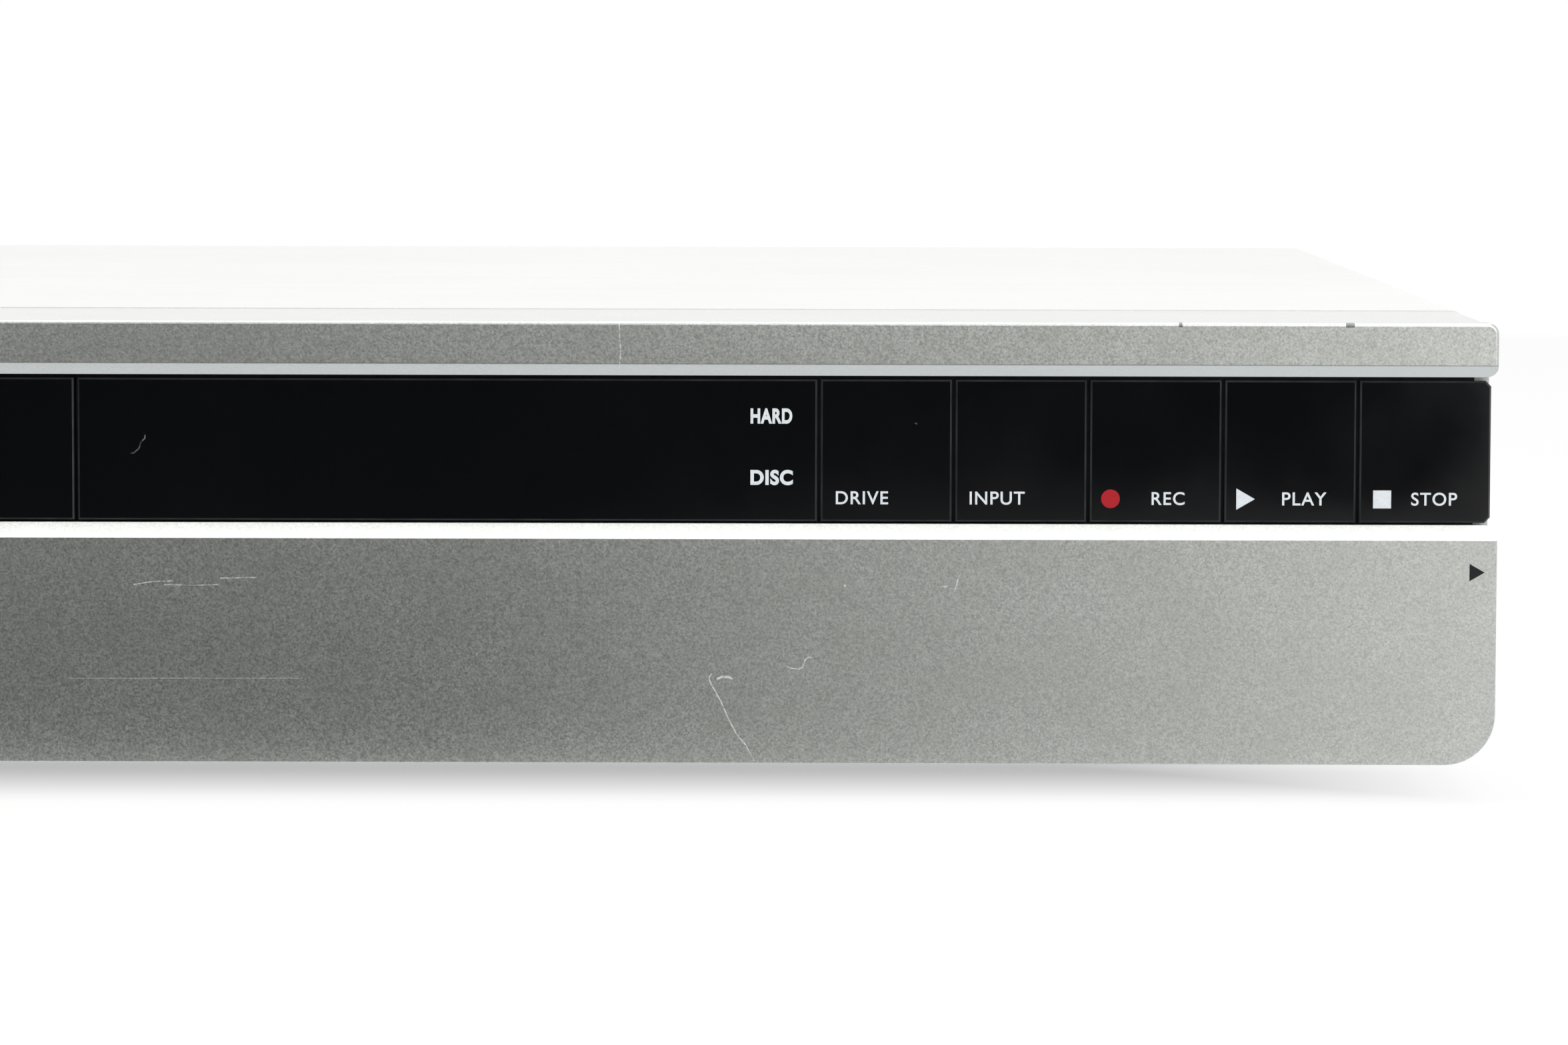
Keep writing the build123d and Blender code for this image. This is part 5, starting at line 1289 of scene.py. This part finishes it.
class RECORDER_OT_main_board_parts(bpy.types.Operator):
    """Places the small parts and the chips' legs on the main board"""

    bl_idname = "recorder.main_board_parts"
    bl_label = "Add the main board's parts"

    def execute(self, context):
        self.top = Vector((0, 0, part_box("main_chips")[0].z))
        self.legs()
        assembled("small_capacitors", self.on_board(small_can("can"), CAN_PLACES))
        self.small_chips()
        self.resistors()
        return {"FINISHED"}

    def on_board(self, pattern, places):
        """Copies of a pattern at places on the board, some with quarter turns."""
        offsets = [self.top + mm(x, y, 0) for x, y, *quarters in places]
        turns = [sum(quarters) * QUARTER for x, y, *quarters in places]
        return scattered(pattern, offsets, turns)

    def legs(self):
        """A row of legs, turned into a square and set round each of the three main chips."""
        low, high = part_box("main_chips")
        half = (high.y - low.y) / 2
        centre = (low + high) / 2
        row = [mm(x, 0, 0) + Vector((0, half, 0)) for x in spaced(CHIP_LEGS, CHIP_LEG_PITCH)]
        side = join("leg_row", scattered(blocks("leg"), row))
        quarters = [quarter * QUARTER for quarter in range(4)]
        square = join("leg_square", scattered(side, [ORIGIN] * 4, quarters))
        chips = [Vector((x, centre.y, 0)) + self.top for x in (low.x + half, centre.x, high.x - half)]
        assembled("chip_legs", scattered(square, chips))

    def small_chips(self):
        body = blocks("memory")
        row = spaced(MEMORY_LEGS, MEMORY_LEG_PITCH)
        offsets = [mm(x, y, 0) for x in row for y in (-MEMORY_LEG_REACH, MEMORY_LEG_REACH)]
        memory = join("memory", [body] + scattered(blocks("memory_leg"), offsets))
        parts = self.on_board(memory, MEMORY_PLACES)
        parts += self.on_board(blocks("crystal"), CRYSTAL_PLACES)
        parts += self.on_board(blocks("plug"), PLUG_PLACES)
        assembled("memory_and_plugs", parts)

    def resistors(self):
        across_pitch, back_pitch = RESISTOR_PITCHES
        places = [(x + i * across_pitch, y + j * back_pitch, (i + j) % 2)
                  for x, y, across, back in RESISTOR_FIELDS for i in range(across) for j in range(back)]
        assembled("small_resistors", self.on_board(blocks("resistor"), places))


class RECORDER_OT_power_board_parts(bpy.types.Operator):
    """Places the mains filter, rectifier, heat sink and small parts on the power board"""

    bl_idname = "recorder.power_board_parts"
    bl_label = "Add the power board's parts"

    def execute(self, context):
        self.origin = Vector((middle("power_board").x, 0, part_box("transformer")[0].z))
        cans = [self.origin + mm(x, y, 0) for x, y in POWER_CANS]
        parts = [blocks("filter_box", self.origin), self.choke(), self.sink()]
        assembled("power_parts", parts + self.fuse() + scattered(small_can("can"), cans))
        self.capacitor_tops()
        return {"FINISHED"}

    def hoop(self, name, radii, steps, finish, upright):
        """A closed torus, lying or upright, with its height stretched."""
        made = start(
            name, bpy.ops.mesh.primitive_torus_add, major_radius=radii[0] * MM, minor_radius=radii[1] * MM,
            major_segments=steps[0], minor_segments=steps[1])
        if upright:
            bpy.ops.transform.rotate(value=QUARTER, orient_axis="X", center_override=(0, 0, 0))
            bpy.ops.transform.resize(value=(1, 1, WINDING_TALL))
            bpy.ops.transform.translate(value=mm(CHOKE_RADII[0], 0, 0))
        else:
            bpy.ops.transform.resize(value=(1, 1, CHOKE_TALL))
        close(made)
        return painted(smooth(made), finish)

    def choke(self):
        core = self.hoop("choke", CHOKE_RADII, CHOKE_STEPS, "dark_sleeve", False)
        loop = self.hoop("winding", WINDING_RADII, WINDING_STEPS, "copper", True)
        angles = [math.radians(side + step * WINDING_PITCH)
                  for side in WINDING_SIDES for step in range(WINDING_TURNS)]
        made = join("choke", [core] + scattered(loop, [ORIGIN] * len(angles), angles))
        return placed(made, self.origin + mm(*CHOKE_PLACE))

    def sink(self):
        plate = blocks("sink", self.origin)
        fin = blocks("sink_fin", self.origin)
        fins = scattered(fin, [mm(0, i * SINK_FIN_PITCH, 0) for i in range(SINK_FINS)])
        return join("sink", [plate] + fins + [blocks("switch", self.origin)])

    def fuse(self):
        """The fuse with its two caps and clips."""
        place = self.origin + mm(*FUSE_PLACE)
        parts = [painted(turned("fuse", FUSE_TUBE, place, "Y", SMALL_STEPS), "pale_plastic")]
        for y in FUSE_ENDS:
            end = place + mm(0, y, 0)
            parts.append(painted(turned("fuse_cap", FUSE_CAP, end, "Y", SMALL_STEPS), "tin"))
            parts.append(blocks("fuse_clip", end))
        return parts

    def capacitor_tops(self):
        """The grooved plates on the large capacitors and the stripes down their sides."""
        low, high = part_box("capacitors")
        radius = (high.x - low.x) / 2
        parts = []
        for y in (low.y + radius, (low.y + high.y) / 2, high.y - radius):
            top = Vector((low.x + radius, y, high.z))
            plate = ring("can_plate", 0.0, radius * CAN_PLATE_SHARE, CAN_PLATE_DEPTH, CAN_PLATE_EDGE, top)
            parts.append(painted(plate, "tin"))
            for turn in (0.0, QUARTER):
                place = top + Vector((0, 0, CAN_PLATE_DEPTH))
                parts.append(placed(blocks("can_groove"), place, turn))
            inner, outer = high.x - STRIPE_SKIN[0], high.x + STRIPE_SKIN[1]
            stripe = slab("can_stripe", Vector((inner, y - STRIPE_HALF, low.z + STRIPE_ENDS[0])),
                          Vector((outer, y + STRIPE_HALF, high.z - STRIPE_ENDS[1])))
            parts.append(painted(stripe, "pale_plastic"))
        assembled("capacitor_marks", parts)


class RECORDER_OT_drive_details(bpy.types.Operator):
    """Adds the disc drive's pressed ring and screws and the hard disk's screws and rings"""

    bl_idname = "recorder.drive_details"
    bl_label = "Add the drives' details"

    def execute(self, context):
        low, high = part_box("drive_lid")
        spindle = middle("turntable")
        hoop = ring("lid_ring", *LID_RING, Vector((spindle.x, spindle.y, high.z)), "Z", LID_STEPS)
        parts = [painted(hoop, "zinc_steel")] + self.screws(low, high, LID_INSET, (0, 1))
        assembled("lid_details", parts)
        low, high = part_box("hard_disk")
        hub = Vector(((low.x + high.x) / 2, low.y + DISK_HUB_SHARE * (high.y - low.y), high.z))
        outer = painted(ring("disk_ring", *DISK_RING, hub, "Z", LID_STEPS), "cast_aluminium")
        cap = painted(ring("disk_cap", *DISK_HUB, hub, "Z", HUB_STEPS), "tin")
        assembled("disk_details", [outer, cap] + self.screws(low, high, DISK_INSET, (0, 0.5, 1)))
        return {"FINISHED"}

    def screws(self, low, high, inset, rows):
        """Screws along both sides of a cover's top, in rows at these shares of its depth."""
        head = painted(turned("screw", SCREW_HEAD, steps=SMALL_STEPS), "nickel")
        screw = join("screw", [head, blocks("cross")])
        depth = high.y - low.y - 2 * inset[1]
        places = [Vector((x, low.y + inset[1] + row * depth, high.z))
                  for x in (low.x + inset[0], high.x - inset[0]) for row in rows]
        turns = [math.radians(FIRST_SCREW_TURN + NEXT_SCREW_TURN * i) for i in range(len(places))]
        return scattered(screw, places, turns)


class RECORDER_OT_studio(bpy.types.Operator):
    """Sets the floor, the light and the camera"""

    bl_idname = "recorder.studio"
    bl_label = "Set the studio"

    def execute(self, context):
        settings = context.scene.recorder_studio
        self.floor()
        self.flag()
        self.room(context.scene, settings)
        self.lamp("top_lamp", settings.top_power, *TOP_LAMP)
        self.lamp("side_lamp", settings.side_power, *SIDE_LAMP)
        self.camera(context.scene, settings)
        context.scene.view_settings.view_transform = "Standard"
        return {"FINISHED"}

    def floor(self):
        """White paper that shows a soft grey under the recorder: its real shadow, deepened by a painted
        shadow where its glow is weaker.
        """
        place = (0, 0, -FLOOR_DROP)
        made = start("studio_floor", bpy.ops.mesh.primitive_plane_add, size=FLOOR_SIZE, location=place)
        bpy.ops.mesh.subdivide(number_cuts=FLOOR_CUTS)
        close(made)
        s = new_shader("studio_floor")
        paper = s.node("ShaderNodeBsdfDiffuse", inputs={"Color": linear(*PAPER_WHITE)})
        white = s.node("ShaderNodeEmission", inputs={"Color": WHITE, "Strength": BACKGROUND_LEVEL})
        x, y = s.axes()[:2]
        reach = s.maths("SQRT", x * x + y * y)
        # Painted shadow: the white glow is weaker under the recorder and grows towards its edges, darkening
        # the floor beneath it.
        beside = s.maths("MAXIMUM", abs(x) / CAD_HIGH.x, abs(y) / -CAD_LOW.y)
        near = s.spread(beside, UNDER_START, UNDER_END, GLOW_UNDER, GLOW_BESIDE)
        far = s.spread(reach, FLOOR_NEAR, FLOOR_FAR)
        glow = self.seen(s) * s.maths("MAXIMUM", near, far)
        surface = s.node("ShaderNodeMixShader", inputs={0: glow, 1: paper, 2: white})
        made.data.materials.append(s.output(surface))

    def flag(self):
        """A folded card that fades from dark to white, for the metal and the gloss to mirror."""
        centre = ((FLAG_LEFT + FLAG_RIGHT) / 2, (FLAG_NEAR + FLAG_FAR) / 2, FLAG_LIFT)
        made = start("studio_flag", bpy.ops.mesh.primitive_plane_add, size=1, location=centre)
        bpy.ops.transform.resize(value=(FLAG_RIGHT - FLAG_LEFT, FLAG_NEAR - FLAG_FAR, 1))
        choose(made, lambda place: place.y < centre[1])
        extrude(0, 0, FLAG_TOP)
        close(made)
        s = new_shader("studio_flag")
        x, z = s.axes()[::2]
        upright = z > FLAG_LIFT * 2
        lying = s.spread(x, FADE_START, FADE_END) * (z < FLAG_LIFT * 2)
        dark = s.mix(upright, FLAG_DARK, shade(FLAG_DARK, UPRIGHT_SHADE))
        fade = s.mix(s.maths("MAXIMUM", lying, x > UPRIGHT_END), dark, WHITE)
        card = s.node("ShaderNodeEmission", inputs={"Color": fade, "Strength": 1.0})
        made.data.materials.append(s.output(card))
        made.visible_camera = made.visible_diffuse = made.visible_shadow = made.visible_transmission = False

    def seen(self, s):
        """1 for the rays that show the background: camera, mirrored and transmitted ones."""
        path = s.node("ShaderNodeLightPath").output.node.outputs
        rays = [Value(s, path[name]) for name in ("Is Camera Ray", "Is Glossy Ray", "Is Transmission Ray")]
        return s.spread(rays[0] + rays[1] + rays[2], 0.0, 1.0)

    def room(self, scene, settings):
        """Even light, with plain white wherever the background shows."""
        scene.world = bpy.data.worlds.new("studio_room")
        s = Shader(scene.world)
        even = s.node("ShaderNodeBackground", inputs={"Color": WHITE, "Strength": settings.room_level})
        white = s.node("ShaderNodeBackground", inputs={"Color": WHITE, "Strength": 1.0})
        s.output(s.node("ShaderNodeMixShader", inputs={0: self.seen(s), 1: even, 2: white}), "World")

    def lamp(self, name, power, sides, place, aim):
        data = bpy.data.lights.new(name, "AREA")
        data.shape = "RECTANGLE"
        data.size, data.size_y = sides
        data.energy = power
        self.aimed(bpy.data.objects.new(name, data), place, aim)

    def camera(self, scene, settings):
        data = bpy.data.cameras.new("studio_camera")
        data.sensor_width = SENSOR_WIDTH
        data.lens = settings.lens
        data.clip_start, data.clip_end = CLIP_RANGE
        made = bpy.data.objects.new("studio_camera", data)
        scene.camera = self.aimed(made, settings.camera_place, settings.camera_aim, settings.camera_roll)

    def aimed(self, made, place, aim, roll=0.0):
        """Puts a lamp or the camera at a place, turned towards its aim."""
        bpy.context.scene.collection.objects.link(made)
        made.location = place
        made.rotation_mode = "QUATERNION"
        look = (Vector(aim) - Vector(place)).to_track_quat("-Z", "Y")
        made.rotation_quaternion = look @ Quaternion((0, 0, 1), roll)
        return made


OPERATORS = (
    RECORDER_OT_finish_nodes,
    RECORDER_OT_key_legends,
    RECORDER_OT_left_symbols,
    RECORDER_OT_window_legends,
    RECORDER_OT_flap_mark,
    RECORDER_OT_socket_rings,
    RECORDER_OT_rear_numbers,
    RECORDER_OT_contacts,
    RECORDER_OT_main_board_parts,
    RECORDER_OT_power_board_parts,
    RECORDER_OT_drive_details,
    RECORDER_OT_studio,
)
GROUPS = {
    "recorder_legends": LegendSettings,
    "recorder_sockets": SocketSettings,
    "recorder_studio": StudioSettings,
}


class RECORDER_PT_sidebar(bpy.types.Panel):
    """The recorder's sizes and steps."""

    bl_idname = "RECORDER_PT_sidebar"
    bl_label = "Disc recorder"
    bl_space_type = "VIEW_3D"
    bl_region_type = "UI"
    bl_category = "Recorder"

    def draw(self, context):
        for name, group in GROUPS.items():
            box = self.layout.box()
            settings = getattr(context.scene, name)
            for key in group.__annotations__:
                box.prop(settings, key)
        for operator in OPERATORS:
            self.layout.operator(operator.bl_idname)


def register():
    """Registers the classes and their settings."""
    for made in (*GROUPS.values(), *OPERATORS, RECORDER_PT_sidebar):
        bpy.utils.register_class(made)
    for name, group in GROUPS.items():
        setattr(bpy.types.Scene, name, bpy.props.PointerProperty(type=group))


def unregister():
    """Removes the settings and the classes."""
    for name in GROUPS:
        delattr(bpy.types.Scene, name)
    for made in (RECORDER_PT_sidebar, *reversed(OPERATORS), *reversed(GROUPS.values())):
        bpy.utils.unregister_class(made)


def main():
    """Dresses the recorder."""
    register()
    MATERIALS.update(make_materials())
    for operator in OPERATORS:
        group, name = operator.bl_idname.split(".")
        getattr(getattr(bpy.ops, group), name)()


if __name__ == "__main__":
    main()
